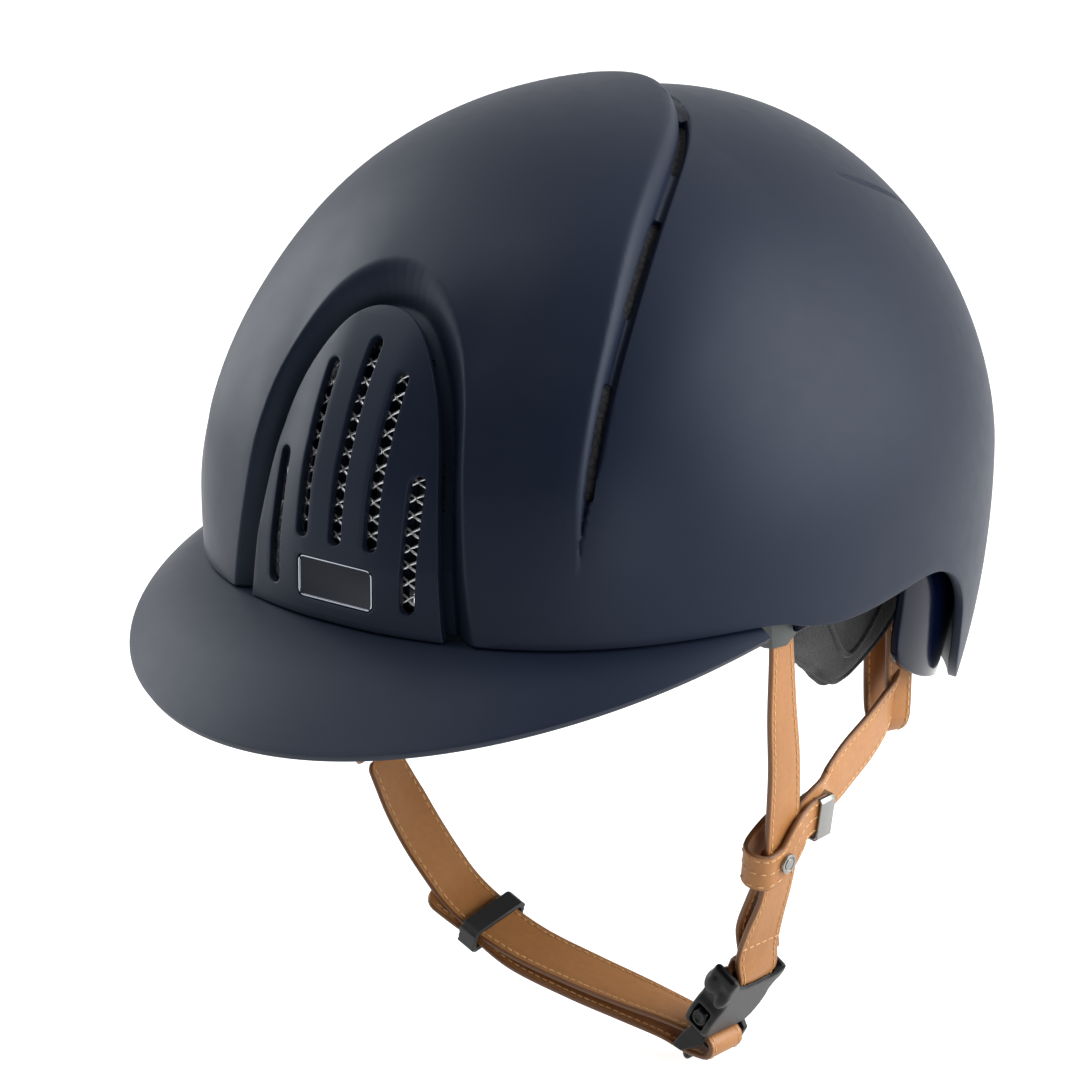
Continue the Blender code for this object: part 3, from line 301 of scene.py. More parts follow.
def edit(thing, wanted=None, kind="FACE"):
    """Goes into edit mode with everything selected, or only the faces or edges that are wanted."""
    pick(thing)
    bpy.ops.object.mode_set(mode="EDIT")
    bpy.ops.mesh.select_mode(type=kind)
    bpy.ops.mesh.select_all(action="SELECT" if wanted is None else "DESELECT")
    if wanted is not None:
        leave()
        parts = thing.data.polygons if kind == "FACE" else thing.data.edges
        parts.foreach_set("select", np.array(wanted, bool))
        bpy.ops.object.mode_set(mode="EDIT")


def leave():
    bpy.ops.object.mode_set(mode="OBJECT")


def faced(thing):
    """Turns all of an object's faces outwards."""
    edit(thing)
    bpy.ops.mesh.normals_make_consistent(inside=False)
    leave()
    return thing


def places(thing):
    spots = np.empty(len(thing.data.vertices) * 3)
    thing.data.vertices.foreach_get("co", spots)
    return spots.reshape(-1, 3)


def put(thing, spots):
    thing.data.vertices.foreach_set("co", np.asarray(spots, float).ravel())
    thing.data.update()


def face_middles(thing):
    middles = np.empty(len(thing.data.polygons) * 3)
    thing.data.polygons.foreach_get("center", middles)
    return middles.reshape(-1, 3)


def add_piece(name, spots, faces):
    mesh = bpy.data.meshes.new(name)
    mesh.from_pydata([tuple(p) for p in spots], [], [tuple(int(i) for i in f) for f in faces])
    piece = bpy.data.objects.new(name, mesh)
    bpy.context.scene.collection.objects.link(piece)
    return piece


def modify(thing, kind, **settings):
    """Adds a modifier, sets it and applies it."""
    step = thing.modifiers.new(kind.lower(), kind)
    for key, value in settings.items():
        setattr(step, key, value)
    pick(thing)
    bpy.ops.object.modifier_apply(modifier=step.name)


def bevel(thing, width, segments, angle):
    """Rounds the edges that are sharper than an angle."""
    modify(thing, "BEVEL", width=width * MM, segments=segments, limit_method="ANGLE",
           angle_limit=math.radians(angle))


def cut_away(thing, cutter):
    modify(thing, "BOOLEAN", operation="DIFFERENCE", object=cutter, solver="EXACT")
    bpy.data.objects.remove(cutter)


def smooth_shade(thing, angle=180):
    pick(thing)
    if angle < 180:
        bpy.ops.object.shade_smooth_by_angle(angle=math.radians(angle))
    else:
        bpy.ops.object.shade_smooth()
    return thing


def quads(rows, columns, closed=True, base=0):
    """Faces between rows of points."""
    return [(base + k * columns + n, base + k * columns + (n + 1) % columns,
             base + (k + 1) * columns + (n + 1) % columns, base + (k + 1) * columns + n)
            for k in range(rows - 1) for n in range(columns if closed else columns - 1)]


def tube_faces(rows, columns, base=0):
    """Faces of a closed tube with both of its ends."""
    last = base + (rows - 1) * columns
    return quads(rows, columns, True, base) + [tuple(range(base, base + columns))[::-1],
                                               tuple(range(last, last + columns))]


def sky_ways(turns, lift):
    """Directions from a turn round the middle and an angle above the level."""
    return np.stack([np.cos(lift) * np.cos(turns), np.cos(lift) * np.sin(turns), np.sin(lift)], 1)


def dome_sheet(name, columns, rows, grow, lower):
    """An open dome from its lower edge up to the crown, with even columns round the edge."""
    turns = np.linspace(0, 2 * np.pi, SCAN + 1)[:-1]
    low, high = np.full(SCAN, -1.1), np.full(SCAN, 0.6)
    for _ in range(18):
        lift = (low + high) / 2
        spots = reach(np.zeros((SCAN, 3)), sky_ways(turns, lift), grow)
        under = spots[:, 2] < lower(spots[:, 1])
        low, high = np.where(under, lift, low), np.where(under, high, lift)
    run = np.linalg.norm(np.roll(spots, -1, 0) - spots, axis=1)
    length = np.concatenate([[0], np.cumsum(run)])
    want = np.linspace(0, length[-1], columns + 1)[:-1]
    turns = np.interp(want, length, np.append(turns, 2 * np.pi))
    foot = np.interp(want, length, np.append(low, low[0]))
    grid = [reach(np.zeros((columns, 3)), sky_ways(turns, foot + (np.pi / 2 - foot) * k / rows),
                  grow) for k in range(rows)]
    grid.append(reach(np.zeros((1, 3)), np.array([[0.0, 0.0, 1.0]]), grow))
    last = (rows - 1) * columns
    faces = quads(rows, columns) + [(last + n, last + (n + 1) % columns, rows * columns)
                                    for n in range(columns)]
    return add_piece(name, np.concatenate(grid), faces)


class Value:
    """A shader socket that takes part in sums."""

    def __init__(self, finish, socket):
        self.finish, self.socket = finish, socket

    def __add__(self, other):
        return self.finish.node("Math", {"operation": "ADD"}, {0: self, 1: other})

    def __mul__(self, other):
        return self.finish.node("Math", {"operation": "MULTIPLY"}, {0: self, 1: other})

    __radd__, __rmul__ = __add__, __mul__


class Finish:
    """A material on one Principled shader, and the one way its nodes are made."""

    def __init__(self, name, colour, rough, **fixed):
        self.material = bpy.data.materials.new(name)
        self.material.use_nodes = True
        self.nodes = self.material.node_tree.nodes
        self.shader = self.nodes["Principled BSDF"]
        self.give("Base Color", (*colour, 1))
        self.give("Roughness", rough)
        for key, value in fixed.items():
            self.give(key.replace("_", " "), value)

    def node(self, kind, settings=None, sockets=None, out=0):
        made = self.nodes.new("ShaderNode" + kind)
        for key, value in (settings or {}).items():
            if key == "stops":
                for stop, at in zip(made.color_ramp.elements, value):
                    stop.position = at
            else:
                setattr(made, key, value)
        for key, value in (sockets or {}).items():
            self.join(made.inputs[key], value)
        return Value(self, made.outputs[out])

    def join(self, socket, value):
        if isinstance(value, Value):
            self.material.node_tree.links.new(value.socket, socket)
        else:
            socket.default_value = value

    def give(self, socket, value):
        self.join(self.shader.inputs[socket], value)

    def place(self):
        return self.node("TexCoord", out="Object")

    def noise(self, scale, detail, spot=None):
        return self.node("TexNoise", None, {"Vector": spot or self.place(), "Scale": scale,
                                            "Detail": detail})

    def ramp(self, value, low, high):
        """Black below one level and white above another."""
        return self.node("ValToRGB", {"stops": (low, high)}, {0: value})

    def mix(self, factor, first, second):
        first, second = [v if isinstance(v, Value) else (*v, 1) for v in (first, second)]
        return self.node("Mix", {"data_type": "RGBA"}, {0: factor, 6: first, 7: second}, 2)

    def roughen(self, noise, span, low):
        self.give("Roughness", noise * span + low)

    def bump(self, height, distance, strength):
        self.give("Normal", self.node("Bump", None, {"Height": height, "Distance": distance,
                                                     "Strength": strength}))


shell_paint = Finish("satin_navy_paint", (0.014, 0.021, 0.042), 0.45,
                     Specular_IOR_Level=0.20, Specular_Tint=(0.80, 0.88, 1, 1))
shell_paint.give("Base Color", shell_paint.mix(shell_paint.noise(22, 3), (0.0076, 0.0122, 0.026),
                                               (0.0098, 0.0152, 0.031)))
shell_paint.roughen(shell_paint.noise(160, 2), 0.08, 0.42)
shell_paint.bump(shell_paint.noise(2600, 3), 0.00002, 0.35)


def dress(piece, finish, slot, body, *nodes):
    """Gives a finished piece its material and its body, and hides the CAD nodes that it stands for.
    The slot argument is not used.
    """
    piece.data.materials.clear()
    piece.data.materials.append(finish.material)
    if body:
        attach(piece, body)
    if nodes:
        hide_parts(*nodes)
    return piece


shell = dome_sheet("shell_dome", SHELL_COLUMNS, SHELL_ROWS, 0.0, rim_height)
for spread, cuts in ((7.0 * MM, 1), (4.2 * MM, 2)):
    moved, away, outer, inner, near = shell_surface(face_middles(shell))
    fine = (away > -1.2 * spread) & (away < spread) & (moved[:, 2] > FINE_FOOT)
    fine &= np.abs(moved[:, 0]) < FINE_HALF
    fine |= (outer > -0.8 * spread) & (inner < 3.5 * MM)
    fine |= near < 0.8 * spread
    edit(shell, fine)
    bpy.ops.mesh.subdivide(number_cuts=cuts)
    leave()
moved, away, outer, inner, near = shell_surface(face_middles(shell))
behind_slots = np.zeros(len(moved), bool)
for x, low, high in SLOTS:
    behind_slots |= ((np.abs(moved[:, 0] - x * MM) < SLOT_MARGIN) & (moved[:, 2] > (low - 1) * MM)
                     & (moved[:, 2] < high * MM) & (inner > 3 * MM) & (moved[:, 1] < 0))
edit(shell, behind_slots)
bpy.ops.mesh.delete(type="FACE")
leave()
put(shell, shell_surface(places(shell))[0])
modify(shell, "SOLIDIFY", thickness=SHELL_WALL, offset=-1)
edit(shell, np.zeros(len(shell.data.edges)), "EDGE")
bpy.ops.mesh.edges_select_sharp(sharpness=math.radians(SHARP))
leave()
spots = places(shell)
at_rim = spots[:, 2] < rim_height(spots[:, 1]) + 2.5 * MM
edit(shell, [e.select and at_rim[e.vertices[0]] and at_rim[e.vertices[1]]
             for e in shell.data.edges], "EDGE")
bpy.ops.mesh.bevel(offset=RIM_ROUND, segments=2, clamp_overlap=False)
leave()


def vent_cutter(path, sides, width, depth):
    """A cutter with round ends that follows a path, standing square on the dome."""
    outline = []
    for spots, sides in ((path, sides), (path[::-1], -sides[::-1])):
        outline += list(spots + sides * width / 2)
        run = unit(spots[-1] - spots[-2])
        for angle in np.linspace(0, np.pi, 9)[1:-1]:
            outline.append(spots[-1] + (sides[-1] * np.cos(angle) + run * np.sin(angle))
                           * width / 2)
    outline = np.array(outline)
    lift = outward(outline) * depth
    count = len(outline)
    faces = [tuple(range(count)), tuple(range(2 * count - 1, count - 1, -1))]
    faces += [(n, n + count, (n + 1) % count + count, (n + 1) % count) for n in range(count)]
    return faced(add_piece("vent_cutter", np.concatenate([outline + lift, outline - lift]), faces))


vents = []
for side in (1, -1):
    for low, high in VENT_SPANS:
        x = side * np.linspace(low + 1.0, high - 1.0, 9) * MM
        slope = unit(np.stack([2 * x / BAND_SPREAD, np.ones(9)], 1))
        plan = np.stack([x, BAND_BACK - x * x / BAND_SPREAD], 1) + slope * GROOVE_BACK
        path = reach(np.column_stack([plan, np.zeros(9)]), np.tile([0.0, 0.0, 1.0], (9, 1)))
        sides = unit(np.cross(outward(path), np.gradient(path, axis=0)))
        vents.append(vent_cutter(path, sides, VENT_WIDTH, VENT_REACH))
pick(*vents)
bpy.ops.object.join()
cut_away(shell, vents[0])
smooth_shade(shell, 50)
dress(shell, shell_paint, "shell_paint", "helmet", "outer_shell")

# --- Grille insert
# A separate moulding in the same paint, clipped into the recess. Five upright slots with softened
# lips go through it, and a shallow pocket at its foot takes the name plate.
GRILLE_FACE, GRILLE_THICK = 0.5 * MM, 2.9 * MM
GRILLE_CUT, GRILLE_FOOT, SAME_SPOT = -26 * MM, -20.3 * MM, 0.2 * MM
SLOT_WIDTH, POCKET_GAP, POCKET_DEPTH = 5.0 * MM, 0.7 * MM, 2.2 * MM
PLATE_SIZE, PLATE_CORNER, PLATE_LEVEL = (29 * MM, 13 * MM), 2.2 * MM, -7.5 * MM


def flat_panel(name, outline, thick, start=0.0):
    """A panel in the XZ plane: a disc's rim follows the outline, then it is extruded along Y."""
    bpy.ops.mesh.primitive_circle_add(vertices=len(outline), fill_type="NGON")
    panel = bpy.context.active_object
    panel.name = name
    put(panel, [(x, start, z) for x, z in outline])
    edit(panel)
    bpy.ops.mesh.extrude_region_move(TRANSFORM_OT_translate={"value": (0, thick, 0)})
    leave()
    return faced(panel)


def round_box(wide, high, corner, level):
    """A flat outline with round corners."""
    outline = []
    for turn in range(4):
        cx = (wide / 2 - corner) * (1 if turn in (0, 3) else -1)
        cz = (high / 2 - corner) * (1 if turn in (0, 1) else -1)
        for n in range(9):
            angle = math.radians(90 * turn + 11.25 * n)
            outline.append((cx + corner * math.cos(angle),
                            level + cz + corner * math.sin(angle)))
    return outline


line = whole_line(GRILLE_HALF)
line = np.array([p for p in line if p[1] > GRILLE_CUT])
line[:, 1] = np.maximum(line[:, 1], GRILLE_FOOT)
keep = [True] + [bool(np.linalg.norm(b - a) > SAME_SPOT) for a, b in zip(line, line[1:])]
grille = flat_panel("grille_insert", line[keep], GRILLE_THICK)
half = SLOT_WIDTH / 2
for x, low, high in SLOTS:
    rim = [(half * math.cos(t), half * math.sin(t)) for t in np.linspace(0, np.pi, 13)]
    top = [(x * MM + u, high * MM - half + v) for u, v in rim]
    foot = [(x * MM - u, low * MM + half - v) for u, v in rim]
    cut_away(grille, flat_panel("slot_cutter", top + foot, 12 * MM, -4 * MM))
wide, high = PLATE_SIZE
pocket = round_box(wide + POCKET_GAP, high + POCKET_GAP, PLATE_CORNER + 0.3 * MM, PLATE_LEVEL)
cut_away(grille, flat_panel("pocket_cutter", pocket, 6 * MM, POCKET_DEPTH - 6 * MM))
bevel(grille, 0.45, 3, 55)
edit(grille)
for axis, low, high in ((0, -37, 37.1), (2, -18, 73)):
    way = [0, 0, 0]
    way[axis] = 1
    for step in np.arange(low, high, 2.0) * MM:
        bpy.ops.mesh.select_all(action="SELECT")
        bpy.ops.mesh.bisect(plane_co=[step * w for w in way], plane_no=way)
leave()
flat = places(grille)
put(grille, front_points(flat[:, 0], flat[:, 2], GRILLE_FACE + flat[:, 1]))
smooth_shade(grille, 40)
dress(grille, shell_paint, "shell_paint", "helmet", "front_grille")

# --- Mesh behind the slots
# A sheet of diamond mesh woven from bright steel wire, held behind the insert so that it shows
# through the slots.
WIRE_RADIUS, WIRE_PITCH, WIRE_PERIOD = 0.48 * MM, 13.4 / 3 * MM, 5.4 * MM
WIRE_SWING, WIRE_WEAVE, WIRE_GAP = 0.56, 0.32 * MM, 1.2 * MM
steel = Finish("bright_steel_wire", (0.90, 0.91, 0.92), 0.40, Metallic=1.0)
steel.roughen(steel.noise(900, 2), 0.2, 0.32)
steel.bump(steel.noise(2400, 2), 0.00003, 0.5)


def tubes(name, paths, radius, sides=6):
    """Round wires along paths, in one mesh."""
    spots, faces = [], []
    for path in paths:
        run = unit(np.gradient(path, axis=0))
        aside = unit(np.cross(run, [0.0, 1.0, 0.0]))
        lift = np.cross(run, aside)
        faces += tube_faces(len(path), sides, len(spots))
        for spot, a, b in zip(path, aside, lift):
            for turn in np.arange(sides) * 2 * np.pi / sides:
                spots.append(spot + radius * (a * math.cos(turn) + b * math.sin(turn)))
    return faced(add_piece(name, spots, faces))


inside_line = whole_line(GRILLE_HALF, -3.4 * MM)
paths = []
for k, x in enumerate(np.arange(-7, 8) * WIRE_PITCH):
    z = np.arange(-18.5, 66, 0.65) * MM
    turn = 2 * np.pi * z / WIRE_PERIOD + np.pi * (k % 2)
    swing = np.arcsin(np.sin(turn)) / (np.pi / 2) * 0.8 + np.sin(turn) * 0.2
    wide = x + swing * WIRE_PITCH * WIRE_SWING
    level = WIRE_WEAVE * np.cos(turn) * (1 if k % 2 else -1)
    fits = depth_inside(np.stack([wide, z], 1), inside_line) > 0
    if fits.sum() > 12:
        paths.append(front_points(wide[fits], z[fits],
                                  GRILLE_FACE + GRILLE_THICK + WIRE_GAP + level[fits]))
wires = tubes("steel_mesh", paths, WIRE_RADIUS)
smooth_shade(wires)
dress(wires, steel, "wire", "helmet", "grille_mesh")

# --- Name plate
# A small flat plate pressed into the pocket at the foot of the insert: a thin bright border round
# a dark satin field, which is left bare.
BORDER, FIELD = 0.45 * MM, (27.9 * MM, 11.9 * MM)
plate_dark = Finish("dark_satin_plate", (0.006, 0.009, 0.018), 0.45, Specular_IOR_Level=0.25)
plate_dark.bump(plate_dark.noise(1800, 2), 0.00002, 0.4)
plate_bright = Finish("bright_border", (0.42, 0.45, 0.52), 0.22, Metallic=1.0)
plate_bright.roughen(plate_bright.noise(700, 2), 0.15, 0.15)
badge = flat_panel("name_plate", round_box(*PLATE_SIZE, PLATE_CORNER, PLATE_LEVEL), 1.2 * MM,
                   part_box("badge_plate")[0].y)
edit(badge, [p.normal.y < -0.9 for p in badge.data.polygons])
bpy.ops.mesh.inset(thickness=BORDER)
bpy.ops.mesh.extrude_region_move(TRANSFORM_OT_translate={"value": (0, 0.35 * MM, 0)})
leave()
bevel(badge, 0.12, 2, 60)
smooth_shade(badge, 40)
dress(badge, plate_bright, "badge", "helmet", "badge_plate")
badge.data.materials.append(plate_dark.material)
for face in badge.data.polygons:
    field = (abs(face.center.x) < FIELD[0] / 2
             and abs(face.center.z - PLATE_LEVEL) < FIELD[1] / 2)
    face.material_index = int(field and face.normal.y < -0.9)

# --- Peak
# A thin moulded visor in the shell's paint. Its flange is clipped under the rim, its free edge is
# half an ellipse that drops towards the front, and all its edges are rounded.
PEAK_CENTRE, PEAK_HALF, PEAK_REACH = -45 * MM, 107.5 * MM, 132.5 * MM
PEAK_TURN, PEAK_DROP, PEAK_BEND = 86.5, 23.5 * MM, 1.25
PEAK_EDGE, PEAK_CROWN, PEAK_WALL = -22 * MM, 3 * MM, 2.6 * MM
PEAK_INSET, PEAK_FLANGE, PEAK_COLUMNS, PEAK_ROWS = 2 * MM, 9 * MM, 150, 26


def peak_roots(edge, inset):
    """Where lines from the peak's centre to its edge meet the inside of the rim."""
    ways = unit(edge * (1, 1, 0) - (0, PEAK_CENTRE, 0))
    starts = np.tile([0, PEAK_CENTRE, -21 * MM], (len(edge), 1))
    spots = reach(starts, ways) - ways * inset[:, None]
    spots[:, 2] = rim_height(spots[:, 1]) - 0.3 * MM
    return spots


angle = np.radians(PEAK_TURN) * np.linspace(-1, 1, PEAK_COLUMNS)
front = np.cos(angle)
edge = np.stack([PEAK_HALF * np.sin(angle), PEAK_CENTRE - PEAK_REACH * front,
                 PEAK_EDGE - PEAK_DROP * front ** PEAK_BEND], 1)
root = peak_roots(edge, np.full(PEAK_COLUMNS, PEAK_INSET))
rows = [peak_roots(edge, PEAK_INSET + PEAK_FLANGE * front + 0.5 * MM)]
for share in np.linspace(0, 1, PEAK_ROWS):
    row = root + (edge - root) * share
    row[:, 2] += PEAK_CROWN * front * math.sin(math.pi * share)
    rows.append(row)
peak = faced(add_piece("peak_visor", np.concatenate(rows),
                       quads(len(rows), PEAK_COLUMNS, False)))
if peak.data.polygons[len(peak.data.polygons) // 2].normal.z < 0:
    edit(peak)
    bpy.ops.mesh.flip_normals()
    leave()
modify(peak, "SOLIDIFY", thickness=PEAK_WALL, offset=-1)
bevel(peak, 0.85, 4, 60)
smooth_shade(peak, 60)
dress(peak, shell_paint, "shell_paint", "helmet", "peak")

# --- Peak clips
# Small gloss ends of the two clips that hold the peak, just under the rim at each temple.
DOUBLES, FLAT_ENOUGH = 0.01 * MM, 1.5


def copied(name, node):
    """A piece that starts as a copy of a CAD node, with its doubled corners merged."""
    piece = bpy.data.objects.new(name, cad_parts[node].data.copy())
    bpy.context.scene.collection.objects.link(piece)
    edit(piece)
    bpy.ops.mesh.remove_doubles(threshold=DOUBLES)
    leave()
    return piece


def refined(name, node, round_by, angle=32, segments=3):
    """A finer piece from a CAD node: its flat faces are made whole and its edges rounded."""
    piece = copied(name, node)
    edit(piece)
    bpy.ops.mesh.dissolve_limited(angle_limit=math.radians(FLAT_ENOUGH))
    leave()
    if round_by:
        bevel(piece, round_by, segments, angle)
    return smooth_shade(piece, 42)


gloss_trim = Finish("gloss_navy_moulding", (0.0009, 0.0026, 0.013), 0.14,
                    Specular_IOR_Level=0.05)
gloss_trim.roughen(gloss_trim.noise(60, 2), 0.06, 0.10)
gloss_trim.bump(gloss_trim.noise(700, 2), 0.00002, 0.15)
for side in ("left", "right"):
    tab = refined(f"peak_clip_{side}", f"peak_tab_{side}", 0.35)
    dress(tab, gloss_trim, "gloss_trim", "helmet", f"peak_tab_{side}")

# --- Foam liner
# Expanded polystyrene moulded to the inside of the shell, charcoal, with the fused beads showing
# on its faces.
LINER_WALL, LINER_RIM, LINER_DIP, CLEAR = 21 * MM, -10 * MM, 10 * MM, 0.9 * MM
foam = Finish("charcoal_bead_foam", (0.040, 0.041, 0.046), 0.86)
bead = foam.node("TexVoronoi", {"feature": "DISTANCE_TO_EDGE"}, {"Vector": foam.place(),
                                                              "Scale": 330.0})
foam.give("Base Color", foam.mix(foam.ramp(bead, 0.0, 0.16),
                                 (0.018, 0.018, 0.021), (0.046, 0.047, 0.053)))
foam.bump(foam.ramp(bead, 0.0, 0.3), 0.00025, 0.7)
liner = dome_sheet("liner_dome", 120, 34, -SHELL_WALL - CLEAR, lambda y: np.full(len(y), LINER_RIM))
spots = places(liner)
share = recess_depths(spots, whole_line(RECESS_HALF, 3.6 * MM),
                      whole_line(GRILLE_HALF, 6 * MM))[2]
put(liner, spots - outward(spots) * (share * LINER_DIP)[:, None])
modify(liner, "SOLIDIFY", thickness=LINER_WALL - 0.5 * MM, offset=-1)
bevel(liner, 1.2, 3, 65)
smooth_shade(liner, 60)
dress(liner, foam, "foam", "helmet", "foam_liner")

# --- Pads
# Removable pads of heathered black knit over soft foam, edged with a sewn piping, which only the
# side pads are given here. The side pads hang below the rim beside the straps and have a raised
# quilted seam.
VOXEL, CROWN_VOXEL, CAP, PIPING = 4.2 * MM, 5 * MM, 1.6 * MM, 1.0 * MM
STRETCH, STRETCH_FROM, SPLAY = 0.5, 20 * MM, 4.5 * MM
PRESSURE, TICKS = 4, 20
QUILT_LINE = [(-8, -20), (0, -30), (9, -42), (17, -51), (23, -53), (30, -48), (37, -37), (43, -24)]
EDGE_LINE = [(-34, -29), (-20, -38.5), (0, -51), (12, -59.5), (21, -62), (29, -60), (38, -53),
             (46, -43), (50, -32)]
knit = Finish("heathered_knit", (0.013, 0.0135, 0.016), 0.95, Sheen_Weight=0.35,
              Sheen_Roughness=0.5)
fleck = knit.ramp(knit.noise(900, 4), 0.42, 0.62)
knit.give("Base Color", knit.mix(fleck, (0.008, 0.0085, 0.010), (0.026, 0.027, 0.031)))
warp, weft = [knit.node("TexWave", {"bands_direction": way},
                        {"Vector": knit.place(), "Scale": scale, "Distortion": 1.4,
                         "Detail": 1.0}) for way, scale in (("Z", 520.0), ("Y", 430.0))]
knit.bump(warp * 0.15 + weft * 0.15 + knit.noise(1100, 3) * 0.8, 0.00022, 0.8)
pads = {}
for kind in ("brow_{}", "crown_{}", "nape_{}", "side_{}_left", "side_{}_right"):
    node = kind.format("pad")
    pad = copied(kind.format("cushion"), node)
    modify(pad, "REMESH", mode="VOXEL", voxel_size=CROWN_VOXEL if "crown" in node else VOXEL)
    pads[pad] = (node, places(pad))
    cloth = pad.modifiers.new("stuffing", "CLOTH")
    cloth.settings.use_pressure = True
    cloth.settings.uniform_pressure_force = PRESSURE
    cloth.settings.effector_weights.gravity = 0
    cloth.point_cache.frame_start, cloth.point_cache.frame_end = 1, TICKS
for tick in range(1, TICKS + 1):
    bpy.context.scene.frame_set(tick)
depsgraph = bpy.context.evaluated_depsgraph_get()
for pad, (node, start) in pads.items():
    settled = np.empty(len(start) * 3)
    pad.evaluated_get(depsgraph).data.vertices.foreach_get("co", settled)
    shift = settled.reshape(-1, 3) - start
    far = np.linalg.norm(shift, axis=1)[:, None]
    pad.modifiers.clear()
    put(pad, start + shift * np.minimum(1, CAP / np.maximum(far, 1e-9)))
bpy.context.scene.frame_set(1)
for pad, (node, start) in pads.items():
    side = np.sign(start[:, 0].mean()) if node.startswith("side_pad") else 0
    if side:
        spots = places(pad)
        spots[:, 1] += STRETCH * np.maximum(spots[:, 1] - STRETCH_FROM, 0)
        spots[:, 0] += side * SPLAY * np.clip((spots[:, 1] / MM - 30) / 20, 0, 1)
        put(pad, spots)
    modify(pad, "SMOOTH", factor=0.5, iterations=4)
    modify(pad, "SUBSURF", levels=1, render_levels=1)
    smooth_shade(pad)
    dress(pad, knit, "textile", "helmet", node)
    if side:
        tree = BVHTree.FromPolygons([v.co for v in pad.data.vertices],
                                    [f.vertices for f in pad.data.polygons])
        rows = []
        for line in (QUILT_LINE, EDGE_LINE):
            hits = [tree.ray_cast(Vector((side * 0.2, y, z)), Vector((-side, 0, 0)))[0]
                    for y, z in smooth_path(line, 6) * MM]
            rows.append(np.array([tuple(hit) for hit in hits if hit]))
        piping = tubes(f"pad_piping_{'left' if side > 0 else 'right'}", rows, PIPING, 10)
        dress(smooth_shade(piping), knit, "textile", "helmet")

# --- Nape plate
# A gloss moulding that stands inside the tail of the shell and carries the rear of the harness.
NAPE_OUT, NAPE_WALL = 6.6 * MM, 2.6 * MM
NAPE_LOW = [(20, -38), (22, -50), (30, -57), (44, -64), (60, -70), (80, -76), (110, -79),
            (150, -79)]
NAPE_FRONT = 20
low_line = smooth_path(NAPE_LOW, 4) * MM
columns, rows = 170, 16
start = math.atan2(NAPE_FRONT, 100)
turn = np.linspace(start, math.pi - start, columns)
ways = np.stack([np.cos(turn), np.sin(turn), np.zeros(columns)], 1)


def nape_row(z):
    return reach(np.stack([np.zeros(columns), np.zeros(columns), z], 1), ways, -NAPE_OUT)


foot = np.full(columns, -60 * MM)
for _ in range(8):
    y = np.maximum(nape_row(foot)[:, 1], (NAPE_FRONT + 0.5) * MM)
    foot = np.interp(y, low_line[:, 0], low_line[:, 1])
top = LINER_RIM - 0.3 * MM
grid = [nape_row(top + (foot - top) * k / (rows - 1)) for k in range(rows)]
nape = add_piece("nape_moulding", np.concatenate(grid),
                 [f[::-1] for f in quads(rows, columns, False)])
modify(nape, "SOLIDIFY", thickness=NAPE_WALL, offset=-1)
bevel(nape, 0.7, 3, 60)
smooth_shade(nape, 60)
dress(nape, gloss_trim, "gloss_trim", "helmet", "nape_plate")

# --- Hangers and guides
# Small plastic plates under the liner that the straps hang from, and the grey guide at each
# temple that the front strap leaves by.
GUIDE_SCALE, GUIDE_LIFT = (1, 0.82, 0.80), 2.4 * MM
black_plastic = Finish("black_moulded_plastic", (0.0038, 0.004, 0.0048), 0.34,
                       Specular_IOR_Level=0.22)
grain = black_plastic.noise(1500, 3)
black_plastic.roughen(grain, 0.16, 0.30)
black_plastic.bump(grain, 0.00005, 0.5)
guide_plastic = Finish("grey_moulded_plastic", (0.072, 0.078, 0.078), 0.55)
grain = guide_plastic.noise(1100, 3)
guide_plastic.roughen(grain, 0.15, 0.48)
guide_plastic.bump(grain, 0.00006, 0.6)
for side in ("left", "right"):
    for end in ("front", "rear"):
        hanger = refined(f"{end}_strap_plate_{side}", f"{end}_hanger_{side}", 0)
        dress(hanger, black_plastic, "hanger_plastic", "helmet", f"{end}_hanger_{side}")
    guide = refined(f"temple_guide_{side}", f"strap_guide_{side}", 0.3, 50)
    spots = places(guide)
    corner = np.array([0, spots[:, 1].max(), spots[:, 2].max()])
    put(guide, corner + (spots - corner) * GUIDE_SCALE + (0, 0, GUIDE_LIFT))
    dress(guide, guide_plastic, "guide_plastic", "helmet", f"strap_guide_{side}")

# --- Front straps
# Tan leather straps, 16 mm wide and two plies thick with rolled edges, sewn along both edges. The
# left one runs round the bar of the buckle and back up into its slider.
STRAP_WALL, STITCH_PITCH, STITCH_IN = 1.9 * MM, 2.9 * MM, 2.1 * MM
STRAP_STEP, DIP_HALF = 1.4 * MM, 0.6 * MM
CROSS_STITCH_AT, CROSS_STITCH_HALF = -137.5, 6.9
FRONT_STRAP = [
    (99.8, -38.3, -14.5, 0, 1, 0, 11), (99.6, -37.2, -32.0, 0, 1, 0, 11.5),
    (97.0, -33.0, -53.9, 0, 1, 0, 13.8), (94.4, -28.0, -72.8, 0, 1, 0, 15.2),
    (91.9, -24.8, -88.8, 0, 1, 0, 16.2), (90.1, -23.0, -101.3, 0, 1, 0, 16.4),
    (88.5, -21.7, -111.0, 0, 1, 0, 16.4), (86.0, -21.0, -120.7, 0, 1, 0, 16.4),
    (81.8, -20.6, -132.0, 0.1, 1, 0, 17), (78.4, -19.2, -141.5, 0.15, 1, 0, 17.5)]
RETURN_STRAP = [
    (77.5, -17.2, -142.4, 0.15, 1, 0, 17.5), (77.2, -18.8, -132.0, 0.1, 1, 0, 17),
    (81.4, -20.6, -120.7, 0, 1, 0, 16.4), (85.9, -21.6, -111.5, 0, 1, 0, 16),
    (87.7, -22.1, -103.0, 0, 1, 0, 16)]
YOKE_PATH = [(2.3, 4.8), (-2.5, 3.4), (-3.2, 7.8)]
